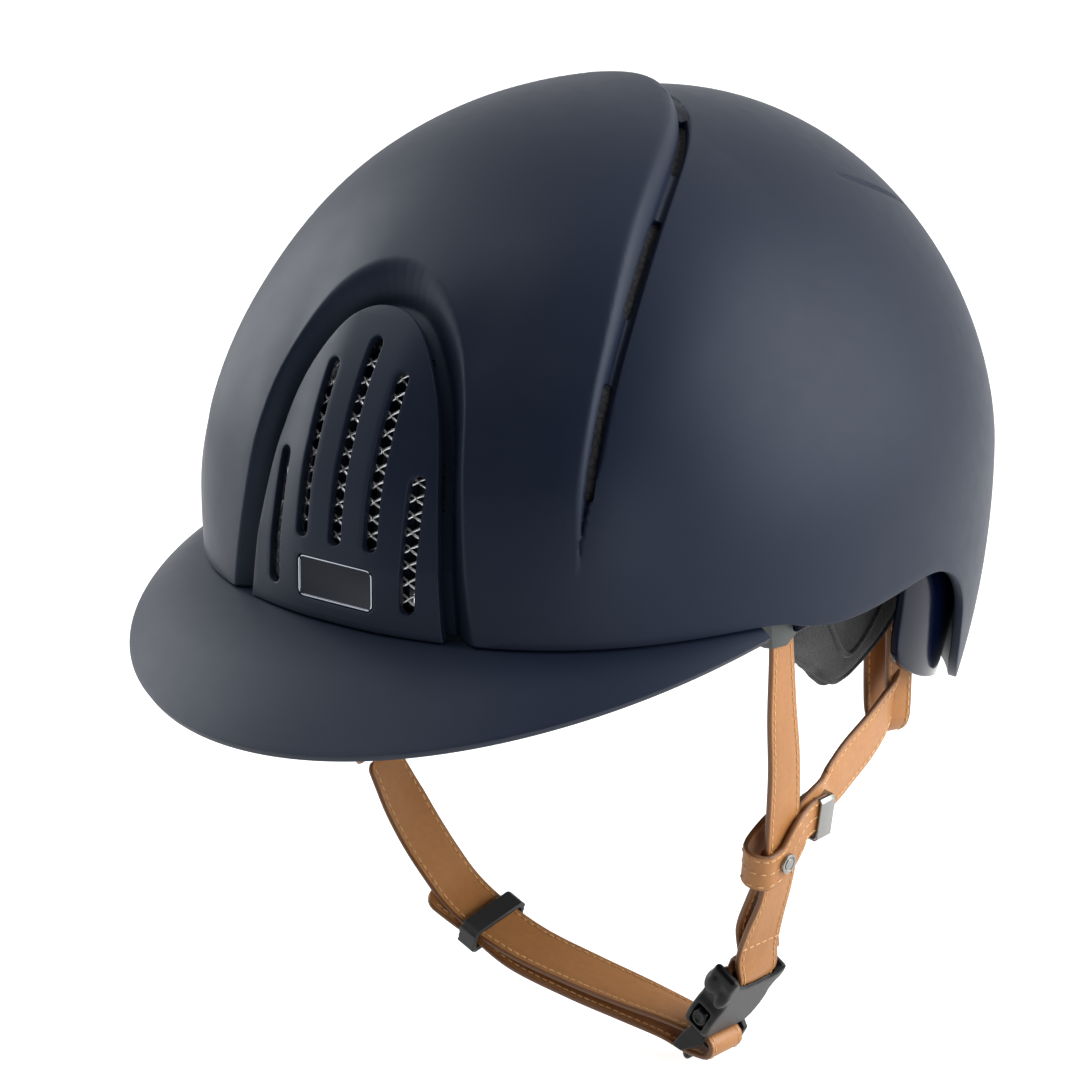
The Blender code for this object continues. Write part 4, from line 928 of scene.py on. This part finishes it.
FAR_STRAP = [
    (-100.4, -37.5, -14.5, 0, 1, 0, 12), (-100.3, -35.8, -33.0, 0, 1, 0, 12.5),
    (-96.0, -32.5, -53.0, 0, 1, 0, 14.5), (-88.5, -28.8, -73.0, 0, 1, 0, 15.6),
    (-81.5, -25.0, -90.0, 0, 1, 0, 16.4), (-76.8, -22.8, -100.5, 0, 1, 0, 16.4),
    (-74.4, -21.8, -106.0, 0, 1, 0, 16.4)]
BUCKLE_BAR, BUCKLE_TILT, BAR_BEND = (72.0, -16.4, -152.5), 33.9, 2.65
buckle_frame = (Matrix.Translation(Vector(BUCKLE_BAR) * MM)
                @ Matrix.Rotation(math.radians(BUCKLE_TILT), 4, "Y"))

leather = Finish("tan_leather", (0.47, 0.20, 0.062), 0.46)
tone = leather.noise(38, 4)
pores = leather.node("TexVoronoi", None, {"Vector": leather.place(), "Scale": 1150.0})
worn = leather.mix(tone, (0.40, 0.165, 0.047), (0.54, 0.245, 0.083))
speck = leather.ramp(leather.noise(420, 3), 0.35, 0.75)
worn = leather.mix(speck * 0.35, worn, (0.33, 0.14, 0.045))
edge = leather.node("Attribute", {"attribute_name": "cut_edge"}, out="Fac")
leather.give("Base Color", leather.mix(edge * 0.85, worn, (0.12, 0.045, 0.016)))
leather.roughen(tone, 0.16, 0.38)
leather.bump(pores * 0.6 + leather.noise(300, 3) * 0.7, 0.00012, 0.6)
thread = Finish("waxed_thread", (0.70, 0.43, 0.20), 0.55)
thread.bump(thread.noise(2600, 2), 0.00006, 0.7)


def along(want, length, values):
    """Columns of values at the wanted lengths."""
    return np.stack([np.interp(want, length, column) for column in values.T], 1)


def strap_rows(rows, tips, wall):
    """Evenly spaced places, axes and widths of a strap, with its corners rounded at the tips."""
    fine = smooth_path(rows, 10)
    spots = fine[:, :3] * MM
    length = np.concatenate([[0], np.cumsum(np.linalg.norm(np.diff(spots, axis=0), axis=1))])
    total = length[-1]
    want = list(np.arange(0, total, STRAP_STEP)) + [total]
    for tip, at in ((tips[0], 0), (tips[1], total)):
        for share in (0.04, 0.15, 0.35, 0.6, 1.0):
            want.append(abs(at - share * tip * MM))
    want = np.unique(np.round(want, 6))
    spots, side = along(want, length, spots), along(want, length, fine[:, 3:6])
    width = np.interp(want, length, fine[:, 6]) * MM
    for tip, near in ((tips[0] * MM, want), (tips[1] * MM, total - want)):
        inside = np.clip(tip - near, 0, tip)
        width = width - 2 * (tip - np.sqrt(np.maximum(tip ** 2 - inside ** 2, 0)))
    run = unit(np.gradient(spots, axis=0))
    side = unit(side - run * (side * run).sum(1)[:, None])
    return want, spots, run, side, np.cross(run, side), np.maximum(width, 1.2 * wall)


def strap_section(width, wall, channel):
    """A strap's section with rolled edges and a slight dip under each row of stitches."""
    half = wall / 2
    flat, dip_at = width / 2 - half, width / 2 - STITCH_IN
    line = np.clip([flat, dip_at + DIP_HALF, dip_at, dip_at - DIP_HALF, 0.35 * flat], -flat, flat)
    sink = (0, 0, channel, 0, -0.3 * channel)
    left = [(-u, half - s, 0) for u, s in zip(line, sink)]
    turn = np.linspace(-np.pi / 2, np.pi / 2, 7)[1:-1]
    upper = (left + [(-u, v, e) for u, v, e in left[::-1]]
             + [(flat + half * math.cos(t), -half * math.sin(t), 1) for t in turn])
    return upper + [(-u, -v, e) for u, v, e in upper]


def lay_strap(name, rows, wall=STRAP_WALL, tips=(3.0, 3.0), channel=0.12 * MM):
    """A leather strap laid along rows of middle, width direction and width."""
    _, spots, _, side, lift, width = strap_rows(rows, tips, wall)
    points, cut = [], []
    for spot, a, b, w in zip(spots, side, lift, width):
        for u, v, mark in strap_section(w, wall, channel):
            points.append(spot + a * u + b * v)
            cut.append(mark)
    strap = faced(add_piece(name, points, tube_faces(len(spots), len(points) // len(spots))))
    mark = strap.data.attributes.new("cut_edge", "FLOAT", "POINT")
    mark.data.foreach_set("value", cut)
    return smooth_shade(strap, 50)


def add_stitches(spots, run, lift, points, faces):
    """One slim rounded stitch at each place, added to lists of points and faces."""
    for spot, a, b in zip(spots, run, lift):
        c = np.cross(a, b)
        faces += tube_faces(5, 6, len(points))
        for along, size in ((-1.05, 0.12), (-0.8, 0.24), (0.0, 0.30), (0.8, 0.24), (1.05, 0.12)):
            for turn in np.arange(6) * np.pi / 3:
                points.append(spot + a * along * MM + (b * math.cos(turn)
                                                       + c * math.sin(turn)) * size * MM)


def sew(name, rows, wall=STRAP_WALL, lines=(-1, 1), span=None, sides=(1, -1), inset=STITCH_IN):
    """Rows of stitches along a strap, on the sides that are named."""
    want, *strap, width = strap_rows(rows, (0.01, 0.01), wall)
    low, high = span or (3.5 * MM, want[-1] - 3.5 * MM)
    at = np.arange(low, high, STITCH_PITCH)
    wide = np.interp(at, want, width)
    spots, run, across, lift = [along(at, want, values) for values in strap]
    points, faces = [], []
    for side in sides:
        for line in lines:
            aside = (wide / 2 - inset) * line
            base = spots + across * aside[:, None] + lift * side * (wall / 2 - 0.02 * MM)
            add_stitches(base, run, lift * side, points, faces)
    return smooth_shade(faced(add_piece(name, points, faces)))


def bend_round(centre, start, turn, radius, steps, width):
    """Rows round a bar that lies along Y: start and turn are angles in the XZ plane."""
    rows = []
    for k in range(steps + 1):
        angle = math.radians(start + turn * k / steps)
        rows.append((centre[0] + radius * math.cos(angle), centre[1],
                     centre[2] + radius * math.sin(angle), 0, 1, 0, width))
    return rows


bend = bend_round(BUCKLE_BAR, -BUCKLE_TILT, -180, BAR_BEND, 4, 17.8)
entry, eye, bulge = [(*(buckle_frame @ Vector((x * MM, 0, z * MM)) / MM), 0.05, 1, 0, 17.8)
                     for x, z in YOKE_PATH]
near_rows = FRONT_STRAP + [entry] + bend + [eye, bulge] + RETURN_STRAP
for name, rows, node in (("front_strap_near", near_rows, "front_strap_left"),
                         ("front_strap_far", FAR_STRAP, "front_strap_right")):
    dress(lay_strap(name, rows), leather, "leather", "helmet", node)
    dress(sew(name + "_stitches", rows), thread, "leather", "helmet")
_, spots, _, side, lift, _ = strap_rows(near_rows, (0.01, 0.01), STRAP_WALL)
where = np.flatnonzero(spots[:, 2] < CROSS_STITCH_AT * MM)[0]
across = np.linspace(-CROSS_STITCH_HALF, CROSS_STITCH_HALF, 6)[:, None] * MM
points, faces = [], []
for face in (1, -1):
    base = spots[where] + side[where] * across + lift[where] * face * STRAP_WALL / 2
    add_stitches(base, [side[where]] * 6, [lift[where] * face] * 6, points, faces)
seam = smooth_shade(add_piece("front_strap_cross_stitch", points, faces))
dress(seam, thread, "leather", "helmet")

# --- Sliders
# On each front strap a band of the same leather is wrapped and closed by a press stud. Its two
# tails hold the end of the rear strap, and a folded steel clip pinches them.
LOOP_WALL, LOOP_WIDTH = 1.8 * MM, 12.6
SLIDER_AT, FAR_SLIDER_AT = 107.8, 102.5
SLIDER_BAND = [
    (21.5, 2.1, 9.3), (14.0, 2.1, 9.4), (9.8, 2.8, 9.2), (6.5, 3.4, 8.2), (3.5, 3.6, 5.0),
    (0.0, 3.7, 1.8), (-4.5, 3.7, 0.3), (-9.4, 3.0, 0.0), (-11.9, -0.8, 0.8),
    (-10.8, -4.4, 1.8), (-6.5, -5.9, 3.0), (1.0, -5.8, 6.3), (6.5, -4.6, 8.6),
    (10.3, -2.8, 9.3), (14.0, -2.1, 9.4), (21.5, -2.1, 9.3)]
SNAP_AT, SNAP_RADIUS, CLIP_LIFT = (-1.3, 5.3, 1.1), 3.2, 2.8


def slider_frame(rows, level, side):
    """Axes of a slider on its strap: rearwards, outwards and up along the leather."""
    for a, b in zip(rows, rows[1:]):
        if b[2] <= -level <= a[2]:
            break
    share = (a[2] + level) / (a[2] - b[2])
    middle = Vector(a[:3]).lerp(Vector(b[:3]), share)
    up = (Vector(a[:3]) - Vector(b[:3])).normalized()
    rear = (Vector((0, 1, 0)) - up * up.y).normalized()
    out = rear.cross(up) * side
    return middle - out * 1.15, rear, out, up


def slider_point(axes, a, v, lift):
    middle, rear, out, up = axes
    return middle + rear * a + out * v + up * lift


steel_dark = Finish("gunmetal_plate", (0.30, 0.30, 0.29), 0.30, Metallic=1.0)
scratch = steel_dark.noise(600, 4, steel_dark.node("Mapping", None, {
    0: steel_dark.place(), 3: (1, 1, 6)}))
steel_dark.roughen(scratch, 0.25, 0.18)
steel_dark.bump(scratch, 0.00002, 0.4)
axes_near = slider_frame(FRONT_STRAP, SLIDER_AT, 1)
axes_far = slider_frame(FAR_STRAP, FAR_SLIDER_AT, -1)
for side, outer, axes in (("left", -1, axes_near), ("right", 1, axes_far)):
    rows = [(*slider_point(axes, *p), *axes[3], LOOP_WIDTH) for p in SLIDER_BAND]
    band = lay_strap(f"slider_band_{side}", rows, LOOP_WALL, (1.5, 1.5), 0.06 * MM)
    dress(band, leather, "leather", f"{side}_slider", f"slider_loop_{side}")
    seam = sew(f"slider_stitches_{side}", rows, LOOP_WALL, (-1, 0, 1), None, (outer,), 1.7 * MM)
    dress(seam, thread, "leather", f"{side}_slider")
    bpy.ops.mesh.primitive_cylinder_add(vertices=40, radius=SNAP_RADIUS * MM, depth=1.4 * MM)
    stud = bpy.context.active_object
    stud.name = f"press_stud_{side}"
    edit(stud, [f.normal.z > 0.9 for f in stud.data.polygons])
    for inset, rise in ((0.75, -0.45), (0.55, 0.5)):
        bpy.ops.mesh.inset(thickness=inset * MM)
        bpy.ops.mesh.extrude_region_move(TRANSFORM_OT_translate={"value": (0, 0, rise * MM)})
    bpy.ops.mesh.inset(thickness=0.6 * MM)
    bpy.ops.transform.translate(value=(0, 0, 0.12 * MM))
    leave()
    bevel(stud, 0.14, 3, 40)
    base = slider_point(axes, *SNAP_AT) * MM
    turn = axes[2].to_track_quat("Z", "Y").to_matrix().to_4x4()
    stud.data.transform(Matrix.Translation(base) @ turn)
    smooth_shade(stud, 35)
    dress(stud, steel_dark, "gunmetal", f"{side}_slider", f"snap_{side}")
    clip = refined(f"folded_clip_{side}", f"strap_clip_{side}", 0.16, 30, 2)
    if side == "left":
        clip.data.transform(Matrix.Translation(axes[3] * CLIP_LIFT * MM))
    dress(clip, steel_dark, "gunmetal", f"{side}_slider", f"strap_clip_{side}")

# --- Rear straps
# Each rear strap starts between the tails of its slider, twists as it climbs through a hanging
# ring of leather, and narrows up to the plate under the liner.
REAR_STRAP = [
    (87.6, 3.5, -93.0, 0.1, -0.3, 0.93, 14.6), (86.8, 10.5, -90.2, 0.1, -0.38, 0.92, 16.6),
    (85.4, 19.0, -87.4, 0.12, -0.4, 0.9, 17.6), (83.6, 32.0, -83.4, 0.15, -0.45, 0.87, 17.4),
    (81.8, 43.0, -78.6, 0.2, -0.5, 0.82, 15.5), (79.6, 51.0, -73.0, 0.5, -0.62, 0.6, 14),
    (78.0, 54.9, -66.0, 0.6, -0.72, 0.35, 13),
    (77.4, 55.6, -52.0, 0.62, -0.78, 0, 11), (77.4, 54.4, -32.0, 0.62, -0.78, 0, 10),
    (77.4, 53.0, -14.2, 0.62, -0.78, 0, 10)]
FAR_REAR_STRAP = [
    (-80.2, 5.5, -92.5, -0.2, -0.2, 0.95, 14.0), (-81.0, 16.0, -89.0, -0.15, -0.35, 0.93, 16.0),
    (-82.0, 31.0, -84.8, -0.15, -0.45, 0.87, 16.2)]
RING_MIDDLE, RING_DIRECTION = (75.5, 53.4), (0.783, 0.622)
RING_SIDE = [(5.4, -14.2), (5.9, -30), (6.4, -50), (6.8, -68)]
RING_HALF, RING_FOOT, RING_WIDTH, RING_TURN = 6.4, -88.0, 9.6, 62
for side, flip, axes in (("left", 1, axes_near), ("right", -1, axes_far)):
    rows = [(*slider_point(axes, a, 0, 9.3 + 0.4 * max(0.0, a - 9.5)), *axes[3], 12.4)
            for a in (9.5, 13.0, 16.5, 20.0)]
    if flip > 0:
        rows += REAR_STRAP
    else:
        rows += FAR_REAR_STRAP + [(-r[0], r[1], r[2], -r[3], *r[4:]) for r in REAR_STRAP[4:]]
    strap = lay_strap(f"rear_strap_of_{side}", rows)
    seam = sew(f"rear_stitches_{side}", rows, span=(13 * MM, 92 * MM))
    dress(strap, leather, "leather", None, f"rear_strap_{side}")
    dress(seam, thread, "leather", None)
    for piece in (strap, seam):
        flip * 0.079
        flip * 0.0865
        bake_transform(piece)
    twist = Matrix.Rotation(math.radians(-RING_TURN), 3, "Z")
    across = twist @ Vector((*RING_DIRECTION, 0))
    through = twist @ Vector((RING_DIRECTION[1], -RING_DIRECTION[0], 0))
    bow = [math.radians(t) for t in range(180, 361, 30)]
    line = [(-a, z) for a, z in RING_SIDE]
    line += [(RING_HALF * math.cos(t), RING_FOOT + RING_HALF * 1.3 * (1 + math.sin(t)))
             for t in bow] + RING_SIDE[::-1]
    rows = []
    for a, z in line:
        spot = Vector((*RING_MIDDLE, z)) + across * a
        rows.append((flip * spot.x, spot.y, z, flip * through.x, through.y, 0, RING_WIDTH))
    dress(lay_strap(f"hanging_ring_{side}", rows, tips=(0.5, 0.5)), leather, "leather", "helmet",
          f"rear_loop_{side}")
    dress(sew(f"ring_stitches_{side}", rows, inset=1.5 * MM), thread, "leather", "helmet")

# --- Chin strap
# A wider leather strap from the far slider under the chin to the ladder of the buckle and back.
CHIN_STRAP = [
    (-72.9, -21.2, -110.2, 0, 1, 0.05, 16.4), (-68.5, -20.5, -118.0, 0, 1, 0.15, 17.5),
    (-64.5, -20.0, -124.5, 0, 0.97, 0.22, 18.5), (-58.5, -19.5, -133.0, 0, 0.956, 0.292, 18.5),
    (-51.0, -19.0, -141.8, 0, 0.956, 0.292, 18.5), (-42.0, -18.0, -151.0, 0, 0.956, 0.292, 18.5),
    (-30.0, -17.4, -157.9, 0, 0.956, 0.292, 18.5), (-14.2, -17.0, -163.2, 0, 0.97, 0.24, 18.5),
    (6.9, -16.6, -166.9, 0, 0.98, 0.2, 18.5), (27.7, -16.4, -169.6, 0, 0.99, 0.12, 18.5),
    (45.0, -15.8, -172.0, 0, 1, 0, 18.0), (54.0, -15.2, -173.7, 0, 1, 0, 16.8)]
CHIN_RETURN = [
    (53.0, -15.2, -180.6, 0, 1, 0, 16.8), (44.0, -15.8, -177.6, 0, 1, 0, 17.8),
    (27.7, -16.4, -174.4, 0, 0.99, 0.12, 18.2), (6.9, -16.6, -171.4, 0, 0.98, 0.2, 18.2),
    (-15.8, -17.0, -167.0, 0, 0.97, 0.24, 18.2), (-31.0, -17.4, -160.0, 0, 0.956, 0.292, 18.2),
    (-40.5, -19.0, -155.2, 0, 0.956, 0.292, 18.2), (-50.0, -21.5, -149.6, 0, 0.956, 0.292, 17.5)]
CROSS_BAR, LADDER_BEND = (4.4, -27.7), 3.35
bar = buckle_frame @ Vector((CROSS_BAR[0] * MM, 0, CROSS_BAR[1] * MM)) / MM
bar.y = CHIN_STRAP[-1][1]
rows = CHIN_STRAP + bend_round(bar, 90, -180, LADDER_BEND, 6, 16.6) + CHIN_RETURN
chin = lay_strap("chin_leather", rows, tips=(3.0, 5.0))
chin_seam = sew("chin_stitches", rows)
dress(chin, leather, "leather", None, "chin_strap")
dress(chin_seam, thread, "leather", None)
for piece in (chin, chin_seam):
    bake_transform(piece)

# --- Keeper
# A moulded black rubber ring that holds the strap's free end, with four ribs on each end.
KEEPER_ROW, KEEPER_RUN = (-30.4, -17.4, -158.95), (-0.91, 0.0, 0.415)
RIB_SIZE, RIB_OUT, RIB_LEVELS = (1.5, 1.3, 7.2), 11.0, (-3.0, -1.0, 1.0, 3.0)
KEEPER_WIDER, KEEPER_HIGHER = 0.03, 0.14
rubber = Finish("black_rubber", (0.012, 0.0125, 0.013), 0.62)
rubber.roughen(rubber.noise(500, 3), 0.15, 0.55)
rubber.bump(rubber.noise(1300, 3), 0.00006, 0.6)
keeper = refined("ribbed_keeper", "strap_keeper", 0)
run = Vector(KEEPER_RUN).normalized()
side = Vector(CHIN_STRAP[6][3:6])
side = (side - run * side.dot(run)).normalized()
rise = run.cross(side)
spots = places(keeper) - np.array(KEEPER_ROW) * MM
for way, more in ((side, KEEPER_WIDER), (rise, KEEPER_HIGHER)):
    spots += np.outer(spots @ np.array(way), way) * more
put(keeper, spots + np.array(KEEPER_ROW) * MM)
ribs = []
for end in (-1, 1):
    for level in RIB_LEVELS:
        bpy.ops.mesh.primitive_cube_add(size=1)
        rib = bpy.context.active_object
        put(rib, places(rib) * np.array(RIB_SIZE) * MM)
        bevel(rib, 0.35, 3, 30)
        axes = Matrix((side, rise, run)).transposed().to_4x4()
        spot = (Vector(KEEPER_ROW) + side * end * RIB_OUT + rise * level) * MM
        rib.data.transform(Matrix.Translation(spot) @ axes)
        ribs.append(rib)
pick(keeper, *ribs)
bpy.ops.object.join()
smooth_shade(keeper, 40)
dress(keeper, rubber, "keeper_rubber", "keeper", "strap_keeper")

# --- Buckle
# A side-release buckle in black acetal: the socket with its yoke and windows on the front strap,
# and the plug with two springy arms and a ladder for the chin strap.
LOBES = [((71.0, -29.8, -150.4), (4.0, 3.8, 5.4)), ((73.4, -30.4, -155.4), (2.4, 2.4, 4.6)),
         ((70.4, -3.2, -150.4), (3.5, 2.6, 4.4))]
COIL_AT, COIL_RADIUS, COIL_WIRE = (64.0, -29.6, -164.6), 2.1 * MM, 0.75 * MM
BUCKLE_VOXEL = 0.36 * MM
SHOULDER_LEVELS, SHOULDER_SPAN, SHOULDER_IN, SHOULDER_DOWN = (-160, -148), (-13, -1), 4.5, 1.5
FRONT_END, FRONT_SHORTER, FRONT_BLEND = -19 * MM, 0.33, (1, 5)
LADDER_LEVEL, LADDER_SHORTER, LADDER_AT, LADDER_OUT = -170 * MM, 0.4, 60 * MM, 0.12
for name, node, body in (("buckle_housing", "buckle_socket", "helmet"),
                         ("buckle_plug_frame", "buckle_tongue", "buckle_plug"),
                         ("front_spring_arm", "buckle_arm_front", "front_button"),
                         ("rear_spring_arm", "buckle_arm_rear", "rear_button")):
    piece = refined(name, node, 0)
    extra = []
    if node == "buckle_socket":
        for at, size in LOBES:
            bpy.ops.mesh.primitive_uv_sphere_add(segments=32, ring_count=20, radius=1)
            extra.append(bpy.context.active_object)
            extra[-1].data.transform(Matrix.Translation(Vector(at) * MM)
                                     @ Matrix.Rotation(math.radians(BUCKLE_TILT), 4, "Y")
                                     @ Matrix.Diagonal((*(s * MM for s in size), 1)))
    if node == "buckle_arm_front":
        bpy.ops.mesh.primitive_torus_add(major_radius=COIL_RADIUS, minor_radius=COIL_WIRE,
                                         major_segments=40, minor_segments=14)
        extra.append(bpy.context.active_object)
        extra[-1].data.transform(Matrix.Translation(Vector(COIL_AT) * MM)
                                 @ Matrix.Rotation(math.radians(90), 4, "X"))
    pick(piece, *extra)
    if extra:
        bpy.ops.object.join()
    modify(piece, "REMESH", mode="VOXEL", voxel_size=BUCKLE_VOXEL)
    spots = places(piece)
    if node == "buckle_socket":
        share = ease(spots[:, 2], *SHOULDER_LEVELS) * ease(spots[:, 1], *SHOULDER_SPAN)
        spots[:, 1] -= SHOULDER_IN * MM * share
        spots[:, 2] -= SHOULDER_DOWN * MM * share
    if node == "buckle_tongue":
        front = np.maximum(FRONT_END - spots[:, 1], 0)
        spots[:, 1] += FRONT_SHORTER * front
        share = ease(front, *FRONT_BLEND)
        spots[:, 2] -= LADDER_SHORTER * (np.minimum(spots[:, 2] - LADDER_LEVEL, 0) * share)
        spots[:, 0] += LADDER_OUT * share * (LADDER_AT - spots[:, 0])
    put(piece, spots)
    modify(piece, "SMOOTH", factor=0.5, iterations=14)
    smooth_shade(piece)
    dress(piece, black_plastic, "buckle_plastic", body, node)

# --- Studio
# A pale seamless floor in a white room, whose side behind the camera is dark, and four soft
# lights: one on the left, a weak one above, a wide one on the right and a small one in front.
FLOOR = cad_box[0][2] - 0.0005
ALSO_SEEN_BY = ("Is Glossy Ray", "Is Transmission Ray")
SHADE_LEVEL = 0.10
DARK_SIDE = Vector((0.62, -0.78, 0.25))
VIEW_TARGET, VIEW_DISTANCE, VIEW_FROM = Vector((-14.7, -11.7, -26.6)) * MM, 2.0, (38.5, 17.9)
SENSOR_WIDTH, FOCAL_PIXELS, FRAME_PIXELS, FAR_CLIP = 36, 6280, 1080, 100


def stage_plane(name, size, spot, finish):
    bpy.ops.mesh.primitive_plane_add(size=size, location=spot)
    plane = bpy.context.active_object
    plane.name = name
    plane.data.materials.append(finish.material)
    return plane


def aimed(name, data, azimuth, elevation, target, distance):
    """Puts a lamp or camera at a distance in a direction: azimuth goes from the front to +X."""
    a, e = math.radians(azimuth), math.radians(elevation)
    way = Vector((math.sin(a) * math.cos(e), -math.cos(a) * math.cos(e), math.sin(e)))
    thing = bpy.data.objects.new(name, data)
    thing.location = target + way * distance
    thing.rotation_euler = way.to_track_quat("Z", "Y").to_euler()
    bpy.context.scene.collection.objects.link(thing)
    return thing


floor_paper = Finish("pale_floor", (0.6, 0.6, 0.6), 0.9, Emission_Strength=0.85)
seen = floor_paper.node("LightPath", out="Is Camera Ray")
for ray in ALSO_SEEN_BY:
    seen = seen + floor_paper.node("LightPath", out=ray)
floor_paper.give("Emission Color", seen)
stage_plane("studio_floor", 60, (0, 0, FLOOR), floor_paper)
room = stage_plane("dark_room_side", 16, (2.6, -3.3, 3.0),
                   Finish("dark_room", (0.01, 0.01, 0.01), 0.9))
room.rotation_euler = DARK_SIDE.to_track_quat("Z", "Y").to_euler()
room.visible_camera = room.visible_diffuse = room.visible_shadow = False
room.visible_transmission = False

world = bpy.data.worlds.new("studio")
bpy.context.scene.world = world
world.use_nodes = True
nodes, links = world.node_tree.nodes, world.node_tree.links
back = nodes["Background"]
path = nodes.new("ShaderNodeLightPath")
seen = path.outputs["Is Camera Ray"]
for ray in ALSO_SEEN_BY:
    either = nodes.new("ShaderNodeMath")
    either.operation = "MAXIMUM"
    links.new(seen, either.inputs[0])
    links.new(path.outputs[ray], either.inputs[1])
    seen = either.outputs[0]
level = nodes.new("ShaderNodeMapRange")
level.inputs["To Min"].default_value = SHADE_LEVEL
links.new(seen, level.inputs["Value"])
links.new(level.outputs["Result"], back.inputs["Color"])

for name, direction, distance, size, power in (
        ("left_softbox", (-84, 22), 1.6, (0.9, 1.5), 21),
        ("crown_softbox", (-30, 66), 1.8, (0.9, 0.9), 7),
        ("right_softbox", (122, 25), 1.6, (1.4, 1.5), 37),
        ("front_softbox", (62, 4), 1.9, (0.7, 0.9), 9)):
    lamp = bpy.data.lights.new(name, "AREA")
    lamp.shape, lamp.energy = "RECTANGLE", power
    lamp.size, lamp.size_y = size
    aimed(name, lamp, *direction, Vector(), distance)

view = bpy.data.cameras.new("front_left_view")
view.sensor_width, view.clip_end = SENSOR_WIDTH, FAR_CLIP
view.lens = SENSOR_WIDTH * FOCAL_PIXELS / FRAME_PIXELS
bpy.context.scene.camera = aimed("front_left_view", view, *VIEW_FROM, VIEW_TARGET, VIEW_DISTANCE)
bpy.context.scene.view_settings.view_transform = "Standard"
